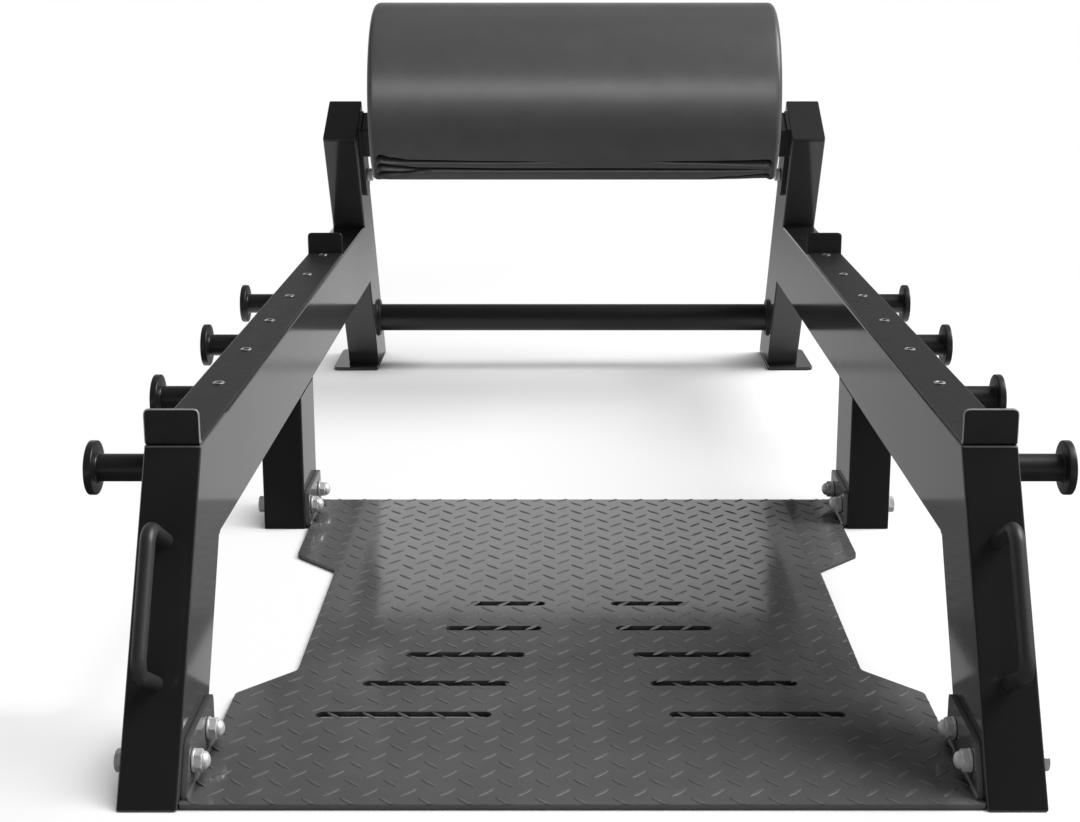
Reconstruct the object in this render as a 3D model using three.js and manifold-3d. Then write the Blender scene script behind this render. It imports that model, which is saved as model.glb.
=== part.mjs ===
// Hip thrust bench: a leaning tube frame with a roll pad across its rear uprights,
// bar rails with stops, band pegs, two grab handles and a tread plate for the feet.
// Millimetres, +Z up, +X to the right, +Y from the tread plate towards the pad.
// The origin is on the floor, under the middle of the object.

import * as THREE from 'three';
import { mergeVertices } from 'three/addons/utils/BufferGeometryUtils.js';
import Module from 'manifold-3d';

const wasm = await Module();
wasm.setup();

// Clearance between pieces that touch.
const GAP = 0.3;

// Heights are from the floor. Places along Y are from the front edge of the front legs.
const LENGTH = 1641;
const FRAME_HALF_WIDTH = 380;
const LEAN = THREE.MathUtils.degToRad(30);
const TUBE = { width: 50, depth: 100, wall: 3, corner: 2.5 };
const TUBE_X = FRAME_HALF_WIDTH - TUBE.width / 2;
const INNER_X = FRAME_HALF_WIDTH - TUBE.width;
const RAIL = { bottom: 165, top: 265 };
const PLUG_THICKNESS = 3;

const MID_LEG_Y = 746.4;
const UPRIGHT = { front: 1528.5, length: 505, cap: 4 };
const BASE_PLATE = { front: 1504, overhang: 25, thickness: 5, corner: 10 };

const LINER = { width: 49, thickness: 3, front: 153, rearStop: 1108, stop: 33, bend: 4, corner: 6 };

const PEG = { places: [253.5, 508, 763, 1018], height: 214.5, radius: 13, reach: 457.5 };
const FLANGE = { radius: 25.5, thickness: 7.5, chamfer: 1 };

const HANDLE = { rod: 6.5, low: 103, high: 223, standoff: 62, bend: 14 };

const PLATE = { thickness: 5, half: 323.5, waist: 273, front: 4, rear: 795 };
const PLATE_NOTCH = { frontStart: 217, frontEnd: 269.5, rearStart: 543.5, rearEnd: 594 };
const SLOT_WIDTH = 12;
const SLOTS = [
  { y: 171, inner: 81, outer: 242 },
  { y: 238.5, inner: 67, outer: 207 },
  { y: 306, inner: 53, outer: 172 },
  { y: 373.5, inner: 38, outer: 137 },
  { y: 441, inner: 35, outer: 115 },
];

// The ears are bent up from the tread plate against the inner faces of the four legs.
const EAR = { height: 46, bend: 8, corner: 6, boltHeight: 25, boltPitch: 60 };
const FRONT_EAR = { front: 10, rear: 130, middle: 72 };
const MID_EAR = { front: 698, rear: 796, middle: MID_LEG_Y };

const CROSS_TUBE = { radius: 22.5, wall: 2.5, y: 1537, height: 84.6 };
const COLLAR = { radius: 30, thickness: 4 };

const BOLT = { radius: 5, hole: 5.3, across: 17, head: 6.4, washer: 10, washerThickness: 2 };
const NUT = { hex: 6.5, dome: 6, bore: 9 };

// The pad group stands in the line of the uprights: y across them, z along them.
const PAD = { radius: 144.5, halfLength: 301, offset: 6.3, rise: 35.3, base: 57.5, edge: 9 };
const PAD_CORNER = 8;
const PAD_DOME = 4;
const CREASES = [
  { height: -15, spread: 3.5, depth: 2.5 },
  { height: -33.5, spread: 4.5, depth: 4 },
];
const BEAM = { size: 50, wall: 3, corner: 2.5, top: 3 };
const BOARD = { length: 560, width: 200, thickness: 12 };
const END_PLATE = { thickness: 5, width: 50, bottom: 137, boltDrop: 105, corner: 22 };
const BOARD_BOLT_X = 200;

const SIDES = [
  { name: 'left', sign: -1 },
  { name: 'right', sign: 1 },
];

// Materials

const paint = () => new THREE.MeshStandardMaterial({ color: 0x242526, roughness: 0.38, metalness: 0.3 });
const linerPaint = () => new THREE.MeshStandardMaterial({ color: 0x2a2b2c, roughness: 0.6, metalness: 0.2 });
const platePaint = () => new THREE.MeshStandardMaterial({ color: 0x36383a, roughness: 0.42, metalness: 0.5 });
const zinc = () => new THREE.MeshStandardMaterial({ color: 0xc4c7ca, roughness: 0.3, metalness: 0.95 });
const vinyl = () => new THREE.MeshStandardMaterial({ color: 0x333435, roughness: 0.5, metalness: 0 });
const plastic = () => new THREE.MeshStandardMaterial({ color: 0x1b1b1c, roughness: 0.7, metalness: 0 });
const plywood = () => new THREE.MeshStandardMaterial({ color: 0x9c7a4e, roughness: 0.8, metalness: 0 });

// Solids for cuts and joins

function toSolid(geometry) {
  const bare = geometry.clone();
  bare.deleteAttribute('normal');
  bare.deleteAttribute('uv');
  const merged = mergeVertices(bare, 1e-4);
  return new wasm.Manifold(new wasm.Mesh({
    numProp: 3,
    vertProperties: new Float32Array(merged.attributes.position.array),
    triVerts: new Uint32Array(merged.index.array),
  }));
}

function toGeometry(solid) {
  const mesh = solid.getMesh();
  const geometry = new THREE.BufferGeometry();
  geometry.setAttribute('position', new THREE.BufferAttribute(mesh.vertProperties, 3));
  geometry.setIndex(new THREE.BufferAttribute(mesh.triVerts, 1));
  const faceted = geometry.toNonIndexed();
  faceted.computeVertexNormals();
  return faceted;
}

function join(...geometries) {
  return toGeometry(geometries.map(toSolid).reduce((whole, piece) => whole.add(piece)));
}

function cut(geometry, ...cutters) {
  return toGeometry(cutters.reduce((whole, cutter) => whole.subtract(toSolid(cutter)), toSolid(geometry)));
}

function common(first, second) {
  return toGeometry(toSolid(first).intersect(toSolid(second)));
}

// Shapes and prisms

function roundedRectangle(width, depth, radius) {
  const x = width / 2 - radius;
  const y = depth / 2 - radius;
  const shape = new THREE.Shape();
  shape.absarc(x, y, radius, 0, Math.PI / 2);
  shape.absarc(-x, y, radius, Math.PI / 2, Math.PI);
  shape.absarc(-x, -y, radius, Math.PI, Math.PI * 1.5);
  shape.absarc(x, -y, radius, Math.PI * 1.5, Math.PI * 2);
  return shape;
}

// A polygon whose corners are rounded by the radius given with each point.
function roundedPolygon(points) {
  const shape = new THREE.Shape();
  points.forEach(([x, y, radius], i) => {
    const corner = new THREE.Vector2(x, y);
    const before = new THREE.Vector2(...points.at(i - 1).slice(0, 2));
    const after = new THREE.Vector2(...points[(i + 1) % points.length].slice(0, 2));
    const start = corner.clone().add(before.sub(corner).setLength(radius));
    const end = corner.clone().add(after.sub(corner).setLength(radius));
    if (i === 0) shape.moveTo(start.x, start.y);
    else shape.lineTo(start.x, start.y);
    if (radius > 0) shape.quadraticCurveTo(x, y, end.x, end.y);
  });
  shape.closePath();
  return shape;
}

function extrude(shape, depth, curveSegments = 2) {
  return new THREE.ExtrudeGeometry(shape, { depth, bevelEnabled: false, curveSegments });
}

// A side view, drawn as (y, z), made as wide as asked and centred on x = 0.
function extrudeSideView(shape, width, curveSegments = 2) {
  const across = new THREE.Matrix4().makeBasis(
    new THREE.Vector3(0, 1, 0),
    new THREE.Vector3(0, 0, 1),
    new THREE.Vector3(1, 0, 0),
  );
  return extrude(shape, width, curveSegments).translate(0, 0, -width / 2).applyMatrix4(across);
}

// A front view, drawn as (x, z), made as deep as asked from y = 0 backwards.
function extrudeFrontView(shape, depth, curveSegments = 2) {
  return extrude(shape, depth, curveSegments).rotateX(Math.PI / 2).translate(0, depth, 0);
}

// A prism along z whose two ends are moved to the heights that lowEnd(y) and highEnd(y) give.
function mitredPrism(shape, lowEnd, highEnd) {
  const geometry = extrude(shape, 1);
  const place = geometry.attributes.position;
  for (let i = 0; i < place.count; i += 1) {
    const end = place.getZ(i) > 0.5 ? highEnd : lowEnd;
    place.setZ(i, end(place.getY(i)));
  }
  geometry.computeVertexNormals();
  return geometry;
}

function tubeSection({ width, depth, wall, corner }) {
  const section = roundedRectangle(width, depth, corner);
  const x = width / 2 - wall;
  const y = depth / 2 - wall;
  const hollow = new THREE.Path([[-x, -y], [-x, y], [x, y], [x, -y]].map((point) => new THREE.Vector2(...point)));
  hollow.closePath();
  section.holes.push(hollow);
  return section;
}

function cylinderAlongX(radius, length, segments = 14) {
  return new THREE.CylinderGeometry(radius, radius, length, segments).rotateZ(Math.PI / 2);
}

function cylinderAlongZ(radius, length, segments = 14) {
  return new THREE.CylinderGeometry(radius, radius, length, segments).rotateX(Math.PI / 2);
}

function hexPrism(across, height) {
  return cylinderAlongZ(across / Math.sqrt(3), height, 6);
}

// Scene graph

const bench = new THREE.Group();
bench.position.y = -LENGTH / 2;

function place(parent, name, geometry, material, { at = [0, 0, 0], turn = [0, 0, 0] } = {}) {
  const mesh = new THREE.Mesh(geometry, material);
  mesh.name = name;
  mesh.position.set(...at);
  mesh.rotation.set(...turn);
  parent.add(mesh);
  return mesh;
}

// Leaning members: a point of the side view, seen in the member's own y and z.

const HALF_FOOT = TUBE.depth / 2 / Math.cos(LEAN);
const TAN = Math.tan(LEAN);

function inLeg(y, z) {
  const point = new THREE.Vector2(y - HALF_FOOT, z).rotateAround(new THREE.Vector2(), LEAN);
  return { y: point.x, z: point.y };
}

const levelInLeg = (height) => (y) => height / Math.cos(LEAN) + y * TAN;
const levelInUpright = (height) => (y) => height / Math.cos(LEAN) - y * TAN;

// Front legs

const frontBolts = [-1, 1].map((end) => FRONT_EAR.middle + (end * EAR.boltPitch) / 2);
const midBolts = [-1, 1].map((end) => MID_EAR.middle + (end * EAR.boltPitch) / 2);

function frontLeg() {
  const tube = mitredPrism(tubeSection(TUBE), levelInLeg(0), levelInLeg(RAIL.top));
  const holes = frontBolts.map((y) => {
    const centre = inLeg(y, EAR.boltHeight);
    return cylinderAlongX(BOLT.hole, TUBE.width + 10).translate(0, centre.y, centre.z);
  });
  return cut(tube, ...holes);
}

function plugSection() {
  const inset = 2 * (TUBE.wall + GAP);
  return roundedRectangle(TUBE.width - inset, TUBE.depth - inset, 1);
}

for (const { name, sign } of SIDES) {
  const stand = { at: [sign * TUBE_X, HALF_FOOT, 0], turn: [-LEAN, 0, 0] };
  const plug = mitredPrism(plugSection(), levelInLeg(0), levelInLeg(PLUG_THICKNESS));
  place(bench, `front_leg_${name}`, frontLeg(), paint(), stand);
  place(bench, `front_foot_plug_${name}`, plug, plastic(), stand);
}

// Middle legs

function midLeg() {
  const tube = mitredPrism(tubeSection(TUBE), () => 0, () => RAIL.bottom - GAP);
  const holes = midBolts.map((y) => (
    cylinderAlongX(BOLT.hole, TUBE.width + 10).translate(0, y - MID_LEG_Y, EAR.boltHeight)
  ));
  return cut(tube, ...holes);
}

for (const { name, sign } of SIDES) {
  const stand = { at: [sign * TUBE_X, MID_LEG_Y, 0] };
  place(bench, `mid_leg_${name}`, midLeg(), paint(), stand);
  place(bench, `mid_foot_plug_${name}`, mitredPrism(plugSection(), () => 0, () => PLUG_THICKNESS), plastic(), stand);
}

// Side rails run from the front legs' rear faces to the uprights' front faces.
// The prism's z is the rail's length, and its y points down.

function sideRail() {
  const middle = (RAIL.bottom + RAIL.top) / 2;
  const joint = GAP / Math.cos(LEAN);
  const legRear = (y) => 2 * HALF_FOOT + (middle - y) * TAN + joint;
  const uprightFront = (y) => UPRIGHT.front - (middle - y) * TAN - joint;
  return mitredPrism(tubeSection(TUBE), legRear, uprightFront);
}

for (const { name, sign } of SIDES) {
  const height = (RAIL.bottom + RAIL.top) / 2;
  place(bench, `side_rail_${name}`, sideRail(), paint(), { at: [sign * TUBE_X, 0, height], turn: [-Math.PI / 2, 0, 0] });
}

// Rail liners: one strip a side, bent up into a stop at each end

function railLiner() {
  const { width, thickness, stop, bend, corner } = LINER;
  const length = LINER.rearStop + thickness - LINER.front;
  const inner = bend - thickness;
  const side = new THREE.Shape();
  side.moveTo(bend, 0);
  side.absarc(length - bend, bend, bend, -Math.PI / 2, 0);
  side.lineTo(length, stop);
  side.lineTo(length - thickness, stop);
  side.absarc(length - bend, bend, inner, 0, -Math.PI / 2, true);
  side.absarc(bend, bend, inner, -Math.PI / 2, -Math.PI, true);
  side.lineTo(thickness, stop);
  side.lineTo(0, stop);
  side.absarc(bend, bend, bend, Math.PI, Math.PI * 1.5);
  const front = roundedPolygon([
    [-width / 2, -1, 0],
    [width / 2, -1, 0],
    [width / 2, stop, corner],
    [-width / 2, stop, corner],
  ]);
  const outline = extrudeFrontView(front, length + 2, 4).translate(0, -1, 0);
  return common(extrudeSideView(side, width, 3), outline);
}

for (const { name, sign } of SIDES) {
  place(bench, `rail_liner_${name}`, railLiner(), linerPaint(), {
    at: [sign * TUBE_X, LINER.front, RAIL.top + GAP],
  });
}

// Rear uprights, their caps and base plates

const uprightStand = new THREE.Group();
uprightStand.position.y = UPRIGHT.front + HALF_FOOT;
uprightStand.rotation.x = LEAN;
bench.add(uprightStand);

const PAD_BOLT_Z = UPRIGHT.length - END_PLATE.boltDrop;

for (const { name, sign } of SIDES) {
  const foot = levelInUpright(BASE_PLATE.thickness + GAP);
  const tube = mitredPrism(tubeSection(TUBE), foot, () => UPRIGHT.length - UPRIGHT.cap);
  const hole = cylinderAlongX(BOLT.hole, 10).translate(-sign * TUBE.width / 2, 0, PAD_BOLT_Z);
  place(uprightStand, `upright_${name}`, cut(tube, hole), paint(), { at: [sign * TUBE_X, 0, 0] });

  const cap = extrude(roundedRectangle(TUBE.width, TUBE.depth, TUBE.corner), UPRIGHT.cap - GAP);
  place(uprightStand, `upright_cap_${name}`, cap, paint(), {
    at: [sign * TUBE_X, 0, UPRIGHT.length - UPRIGHT.cap + GAP],
  });

  const outer = FRAME_HALF_WIDTH + BASE_PLATE.overhang;
  const corners = [
    [sign * INNER_X, BASE_PLATE.front, 2],
    [sign * outer, BASE_PLATE.front, BASE_PLATE.corner],
    [sign * outer, LENGTH, BASE_PLATE.corner],
    [sign * INNER_X, LENGTH, 2],
  ];
  place(bench, `base_plate_${name}`, extrude(roundedPolygon(corners), BASE_PLATE.thickness), paint());
}

// Cross tube between the uprights, with a collar at each end

const crossRing = new THREE.Shape().absarc(0, 0, CROSS_TUBE.radius, 0, Math.PI * 2);
crossRing.holes.push(new THREE.Path().absarc(0, 0, CROSS_TUBE.radius - CROSS_TUBE.wall, 0, Math.PI * 2));
const collarInner = INNER_X - GAP - COLLAR.thickness;
place(bench, 'cross_tube', extrudeSideView(crossRing, 2 * (collarInner - GAP), 11), paint(), {
  at: [0, CROSS_TUBE.y, CROSS_TUBE.height],
});
for (const { name, sign } of SIDES) {
  place(bench, `cross_collar_${name}`, cylinderAlongX(COLLAR.radius, COLLAR.thickness, 28), paint(), {
    at: [sign * (collarInner + COLLAR.thickness / 2), CROSS_TUBE.y, CROSS_TUBE.height],
  });
}

// Band pegs on the outer faces of the rails

function bandPeg() {
  const tubeEnd = PEG.reach - FLANGE.thickness - FRAME_HALF_WIDTH - GAP;
  const { radius, thickness, chamfer } = FLANGE;
  const profile = [
    [0, 0],
    [PEG.radius, 0],
    [PEG.radius, tubeEnd],
    [radius - chamfer, tubeEnd],
    [radius, tubeEnd + chamfer],
    [radius, tubeEnd + thickness - chamfer],
    [radius - chamfer, tubeEnd + thickness],
    [0, tubeEnd + thickness],
  ];
  return new THREE.LatheGeometry(profile.map(([x, y]) => new THREE.Vector2(x, y)), 20);
}

for (const { name, sign } of SIDES) {
  PEG.places.forEach((y, i) => {
    place(bench, `band_peg_${name}_${i + 1}`, bandPeg(), paint(), {
      at: [sign * (FRAME_HALF_WIDTH + GAP), y, PEG.height],
      turn: [0, 0, (-sign * Math.PI) / 2],
    });
  });
}

// Handles: a rod bent into a U, its two feet square on the front leg's front face.
// In the curve, y points out of the face and z runs up it.

class HandleCurve extends THREE.Curve {
  constructor({ low, high, standoff, bend }) {
    super();
    const straightOut = standoff - bend - GAP;
    const grip = high - low - 2 * bend;
    const arc = (bend * Math.PI) / 2;
    this.lengths = [straightOut, arc, grip, arc, straightOut];
    this.total = this.lengths.reduce((sum, length) => sum + length);
    Object.assign(this, { low, high, standoff, bend });
  }

  getPoint(t, target = new THREE.Vector3()) {
    const { low, high, standoff, bend, lengths } = this;
    let run = t * this.total;
    let leg = 0;
    while (leg < 4 && run > lengths[leg]) {
      run -= lengths[leg];
      leg += 1;
    }
    const turned = run / bend;
    if (leg === 0) return target.set(0, GAP + run, low);
    if (leg === 1) {
      return target.set(0, standoff - bend + bend * Math.sin(turned), low + bend - bend * Math.cos(turned));
    }
    if (leg === 2) return target.set(0, standoff, low + bend + run);
    if (leg === 3) {
      return target.set(0, standoff - bend + bend * Math.cos(turned), high - bend + bend * Math.sin(turned));
    }
    return target.set(0, standoff - bend - run, high);
  }
}

function handle() {
  const section = new THREE.Shape().absarc(0, 0, HANDLE.rod, 0, Math.PI * 2);
  return new THREE.ExtrudeGeometry(section, {
    steps: 34,
    curveSegments: 5,
    bevelEnabled: false,
    extrudePath: new HandleCurve(HANDLE),
  });
}

for (const { name, sign } of SIDES) {
  place(bench, `handle_${name}`, handle().rotateZ(Math.PI), paint(), {
    at: [sign * TUBE_X, 0, 0],
    turn: [-LEAN, 0, 0],
  });
}

// Tread plate with its slots and four bent-up ears

function plateOutline() {
  const { half, waist, front, rear } = PLATE;
  const { frontStart, frontEnd, rearStart, rearEnd } = PLATE_NOTCH;
  const right = [
    [INNER_X - GAP, front, 2],
    [INNER_X - GAP, FRONT_EAR.front + 0.5, 0],
    [half, FRONT_EAR.front + 0.5, 0],
    [half, frontStart, 4],
    [waist, frontEnd, 4],
    [waist, rearStart, 4],
    [half, rearEnd, 4],
    [half, rear, 2],
  ];
  const left = right.map(([x, y, radius]) => [-x, y, radius]).reverse();
  return roundedPolygon([...right, ...left]);
}

function slotOutline({ y, inner, outer }, sign) {
  const radius = SLOT_WIDTH / 2;
  const low = Math.min(sign * inner, sign * outer) + radius;
  const high = Math.max(sign * inner, sign * outer) - radius;
  const path = new THREE.Path();
  path.absarc(high, y, radius, -Math.PI / 2, Math.PI / 2);
  path.absarc(low, y, radius, Math.PI / 2, Math.PI * 1.5);
  return path;
}

// The bent strip in front view, from inside the plate to the top of the ear.
function earBend(sign) {
  const { thickness } = PLATE;
  const outerFace = INNER_X - GAP;
  const { bend, height } = EAR;
  const view = new THREE.Shape();
  view.moveTo(outerFace - 2 * bend, 0);
  view.absarc(outerFace - bend, bend, bend, -Math.PI / 2, 0);
  view.lineTo(outerFace, height);
  view.lineTo(outerFace - thickness, height);
  view.absarc(outerFace - bend, bend, bend - thickness, 0, -Math.PI / 2, true);
  view.lineTo(outerFace - 2 * bend, thickness);
  const points = view.getPoints(3).map((point) => new THREE.Vector2(sign * point.x, point.y));
  return new THREE.Shape(points);
}

function ear(sign, sideView, from, to) {
  const strip = extrudeFrontView(earBend(sign), to - from).translate(0, from, 0);
  const trim = extrudeSideView(sideView, 2 * FRAME_HALF_WIDTH);
  return common(strip, trim);
}

function treadPlate() {
  const outline = plateOutline();
  for (const { sign } of SIDES) {
    for (const slot of SLOTS) outline.holes.push(slotOutline(slot, sign));
  }
  const { height, corner, boltHeight } = EAR;
  const frontView = roundedPolygon([
    [FRONT_EAR.front, 0, 0],
    [FRONT_EAR.rear, 0, 0],
    [FRONT_EAR.rear, height, corner],
    [FRONT_EAR.front + height * TAN, height, corner],
  ]);
  const midView = roundedPolygon([
    [MID_EAR.front, 0, 0],
    [MID_EAR.rear, 0, 0],
    [MID_EAR.rear, height, corner],
    [MID_EAR.front, height, corner],
  ]);
  const ears = SIDES.flatMap(({ sign }) => [
    ear(sign, frontView, FRONT_EAR.front, FRONT_EAR.rear),
    ear(sign, midView, MID_EAR.front, MID_EAR.rear),
  ]);
  const holes = [...frontBolts, ...midBolts].map((y) => (
    cylinderAlongX(BOLT.hole, 2 * FRAME_HALF_WIDTH).translate(0, y, boltHeight)
  ));
  return cut(join(extrude(outline, PLATE.thickness, 3), ...ears), ...holes);
}

place(bench, 'tread_plate', treadPlate(), platePaint());

// Bolts and dome nuts. Both stand on z = 0, and a bolt's shank runs down from there.

function bolt(shank) {
  const { radius, across, head, washer, washerThickness } = BOLT;
  const shankLength = shank + washerThickness;
  return join(
    cylinderAlongZ(radius, shankLength).translate(0, 0, washerThickness - shankLength / 2),
    cylinderAlongZ(washer, washerThickness, 18).translate(0, 0, washerThickness / 2),
    hexPrism(across, head).translate(0, 0, washerThickness + head / 2 - 0.01),
  );
}

function domeNut() {
  const { hole, across, washer, washerThickness } = BOLT;
  const hexTop = washerThickness + NUT.hex;
  const domeRadius = across / 2 - 0.8;
  const dome = [new THREE.Vector2(0, hexTop - 1)];
  for (let step = 0; step <= 4; step += 1) {
    const angle = (step / 4) * (Math.PI / 2);
    dome.push(new THREE.Vector2(step === 4 ? 0 : domeRadius * Math.cos(angle), hexTop - 0.01 + NUT.dome * Math.sin(angle)));
  }
  dome.splice(1, 0, new THREE.Vector2(domeRadius, hexTop - 1));
  const whole = join(
    cylinderAlongZ(washer, washerThickness, 18).translate(0, 0, washerThickness / 2),
    hexPrism(across, NUT.hex).translate(0, 0, washerThickness + NUT.hex / 2 - 0.01),
    new THREE.LatheGeometry(dome, 14).rotateX(Math.PI / 2),
  );
  return cut(whole, cylinderAlongZ(hole, 2 * NUT.bore));
}

const earInner = INNER_X - GAP - PLATE.thickness;
const shankEnd = earInner - GAP - NUT.bore + 1;

for (const { name, sign } of SIDES) {
  const ends = [['front', frontBolts], ['mid', midBolts]];
  for (const [leg, places] of ends) {
    places.forEach((y, i) => {
      const outward = [0, (sign * Math.PI) / 2, 0];
      const inward = [0, (-sign * Math.PI) / 2, 0];
      const shank = FRAME_HALF_WIDTH + GAP - shankEnd;
      place(bench, `${leg}_ear_bolt_${name}_${i + 1}`, bolt(shank), zinc(), {
        at: [sign * (FRAME_HALF_WIDTH + GAP), y, EAR.boltHeight],
        turn: outward,
      });
      place(bench, `${leg}_ear_nut_${name}_${i + 1}`, domeNut(), zinc(), {
        at: [sign * (earInner - GAP), y, EAR.boltHeight],
        turn: inward,
      });
    });
  }
}

// Pad beam and the end plates that bolt it to the uprights

const plateInner = INNER_X - GAP - END_PLATE.thickness;
const beamZ = UPRIGHT.length - BEAM.top - BEAM.size / 2;

function padBeam() {
  const section = tubeSection({ width: BEAM.size, depth: BEAM.size, wall: BEAM.wall, corner: BEAM.corner });
  const length = 2 * (plateInner - GAP);
  const holes = SIDES.map(({ sign }) => cylinderAlongZ(BOLT.hole, BEAM.size + 10).translate(sign * BOARD_BOLT_X, 0, 0));
  return cut(extrudeSideView(section, length), ...holes);
}

function endPlate() {
  const { width, bottom, thickness, corner } = END_PLATE;
  const view = roundedPolygon([
    [-width / 2, -bottom, corner],
    [width / 2, -bottom, corner],
    [width / 2, -GAP, 3],
    [-width / 2, -GAP, 3],
  ]);
  const hole = cylinderAlongX(BOLT.hole, thickness + 10).translate(0, 0, -END_PLATE.boltDrop);
  return cut(extrudeSideView(view, thickness, 5), hole);
}

place(uprightStand, 'pad_beam', padBeam(), paint(), { at: [0, 0, beamZ] });
for (const { name, sign } of SIDES) {
  place(uprightStand, `pad_end_plate_${name}`, endPlate(), paint(), {
    at: [sign * (plateInner + END_PLATE.thickness / 2), 0, UPRIGHT.length],
  });
  place(uprightStand, `pad_bolt_${name}`, bolt(16), zinc(), {
    at: [sign * (plateInner - GAP), 0, PAD_BOLT_Z],
    turn: [0, (-sign * Math.PI) / 2, 0],
  });
}

// Core board on top of the beam, held by two bolts from below

const boardZ = UPRIGHT.length - BEAM.top + GAP;
const boardBoltZ = UPRIGHT.length - BEAM.top - BEAM.size - GAP;

const boardHoles = SIDES.map(({ sign }) => cylinderAlongZ(BOLT.hole, 20).translate(sign * BOARD_BOLT_X, 0, 0));
const board = extrude(roundedRectangle(BOARD.length, BOARD.width, 8), BOARD.thickness);
place(uprightStand, 'pad_core_board', cut(board, ...boardHoles), plywood(), { at: [0, 0, boardZ] });
for (const { name, sign } of SIDES) {
  place(uprightStand, `board_bolt_${name}`, bolt(BEAM.size + 9), zinc(), {
    at: [sign * BOARD_BOLT_X, 0, boardBoltZ],
    turn: [Math.PI, 0, 0],
  });
}

// Pad: a roll with a flat base, rounded end edges, slightly domed ends,
// and two creases along the lower front that deepen towards the ends.

function padProfile() {
  const { radius, base } = PAD;
  const cornerReach = radius - PAD_CORNER;
  const dip = Math.asin((base - PAD_CORNER) / cornerReach);
  const cornerY = cornerReach * Math.cos(dip);
  const cornerZ = -cornerReach * Math.sin(dip);
  const points = [];
  const addArc = (y, z, r, from, to, steps) => {
    for (let i = 0; i < steps; i += 1) {
      const angle = from + ((to - from) * i) / steps;
      points.push([y + r * Math.cos(angle), z + r * Math.sin(angle)]);
    }
  };
  const creaseStart = Math.PI + THREE.MathUtils.degToRad(4);
  addArc(cornerY, cornerZ, PAD_CORNER, -Math.PI / 2, -dip, 4);
  addArc(0, 0, radius, -dip, creaseStart, 24);
  addArc(0, 0, radius, creaseStart, Math.PI + dip, 10);
  addArc(-cornerY, cornerZ, PAD_CORNER, Math.PI + dip, Math.PI * 1.5, 4);
  points.push([-cornerY, -base]);
  return points;
}

function creaseDepth([y, z], x) {
  if (y > 0) return 0;
  const taper = 0.3 + 0.7 * (Math.abs(x) / PAD.halfLength) ** 1.5;
  return CREASES.reduce((sum, crease) => (
    sum + crease.depth * taper * Math.exp(-(((z - crease.height) / crease.spread) ** 2))
  ), 0);
}

// Rings from end to end: their place along x and how far they are drawn in.
function padRings() {
  const { halfLength, edge } = PAD;
  const ends = [
    { x: halfLength + PAD_DOME, inset: 80 },
    { x: halfLength + PAD_DOME * 0.6, inset: 40 },
  ];
  for (let i = 0; i <= 3; i += 1) {
    const angle = (i / 3) * (Math.PI / 2);
    ends.push({ x: halfLength - edge * (1 - Math.cos(angle)), inset: edge * (1 - Math.sin(angle)) });
  }
  const spans = [0.82, 0.62, 0.4, 0.2, 0].map((share) => ({ x: share * halfLength, inset: 0 }));
  const right = [...ends, ...spans];
  const left = right.slice(0, -1).map(({ x, inset }) => ({ x: -x, inset }));
  return [...left, ...right.reverse()];
}

function padRoll() {
  const profile = padProfile();
  const count = profile.length;
  const rings = padRings();
  const vertices = [];
  const faces = [];
  for (const { x, inset } of rings) {
    for (const point of profile) {
      const depth = inset > PAD.edge ? 0 : creaseDepth(point, x);
      const scale = 1 - (inset + depth) / PAD.radius;
      vertices.push(x, point[0] * scale, point[1] * scale);
    }
  }
  for (let ring = 0; ring < rings.length - 1; ring += 1) {
    for (let i = 0; i < count; i += 1) {
      const a = ring * count + i;
      const b = ring * count + ((i + 1) % count);
      faces.push(a, b, a + count, b, b + count, a + count);
    }
  }
  for (const [ring, first, second] of [[0, 1, 0], [rings.length - 1, 0, 1]]) {
    const hub = vertices.length / 3;
    vertices.push(rings[ring].x, 0, 0);
    for (let i = 0; i < count; i += 1) {
      const edge = [ring * count + i, ring * count + ((i + 1) % count)];
      faces.push(hub, edge[first], edge[second]);
    }
  }
  const geometry = new THREE.BufferGeometry();
  geometry.setAttribute('position', new THREE.Float32BufferAttribute(vertices, 3));
  geometry.setIndex(faces);
  return geometry;
}

// The base is open round the board and the beam.
function padCushion() {
  const centreZ = UPRIGHT.length + PAD.rise;
  const boardRoom = new THREE.BoxGeometry(BOARD.length + 2 * GAP, BOARD.width + 2 * GAP, BOARD.thickness + 2 * GAP)
    .translate(0, -PAD.offset, boardZ + BOARD.thickness / 2 - centreZ);
  const beamRoom = new THREE.BoxGeometry(3 * PAD.halfLength, BEAM.size + 2, 100)
    .translate(0, -PAD.offset, boardZ + BOARD.thickness / 2 - 50 - centreZ);
  return cut(padRoll(), boardRoom, beamRoom);
}

place(uprightStand, 'pad_cushion', padCushion(), vinyl(), {
  at: [0, PAD.offset, UPRIGHT.length + PAD.rise],
});

export default bench;
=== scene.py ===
"""Hip thrust bench: painted tube frame, vinyl roll pad, band pegs, grab handles,
bar rails with screwed-on liners, and a checker tread plate for the feet."""

import math

import bmesh
import bpy
import numpy as np
from bpy.props import FloatProperty, FloatVectorProperty, PointerProperty
from mathutils import Matrix, Vector
from mathutils.kdtree import KDTree


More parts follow.
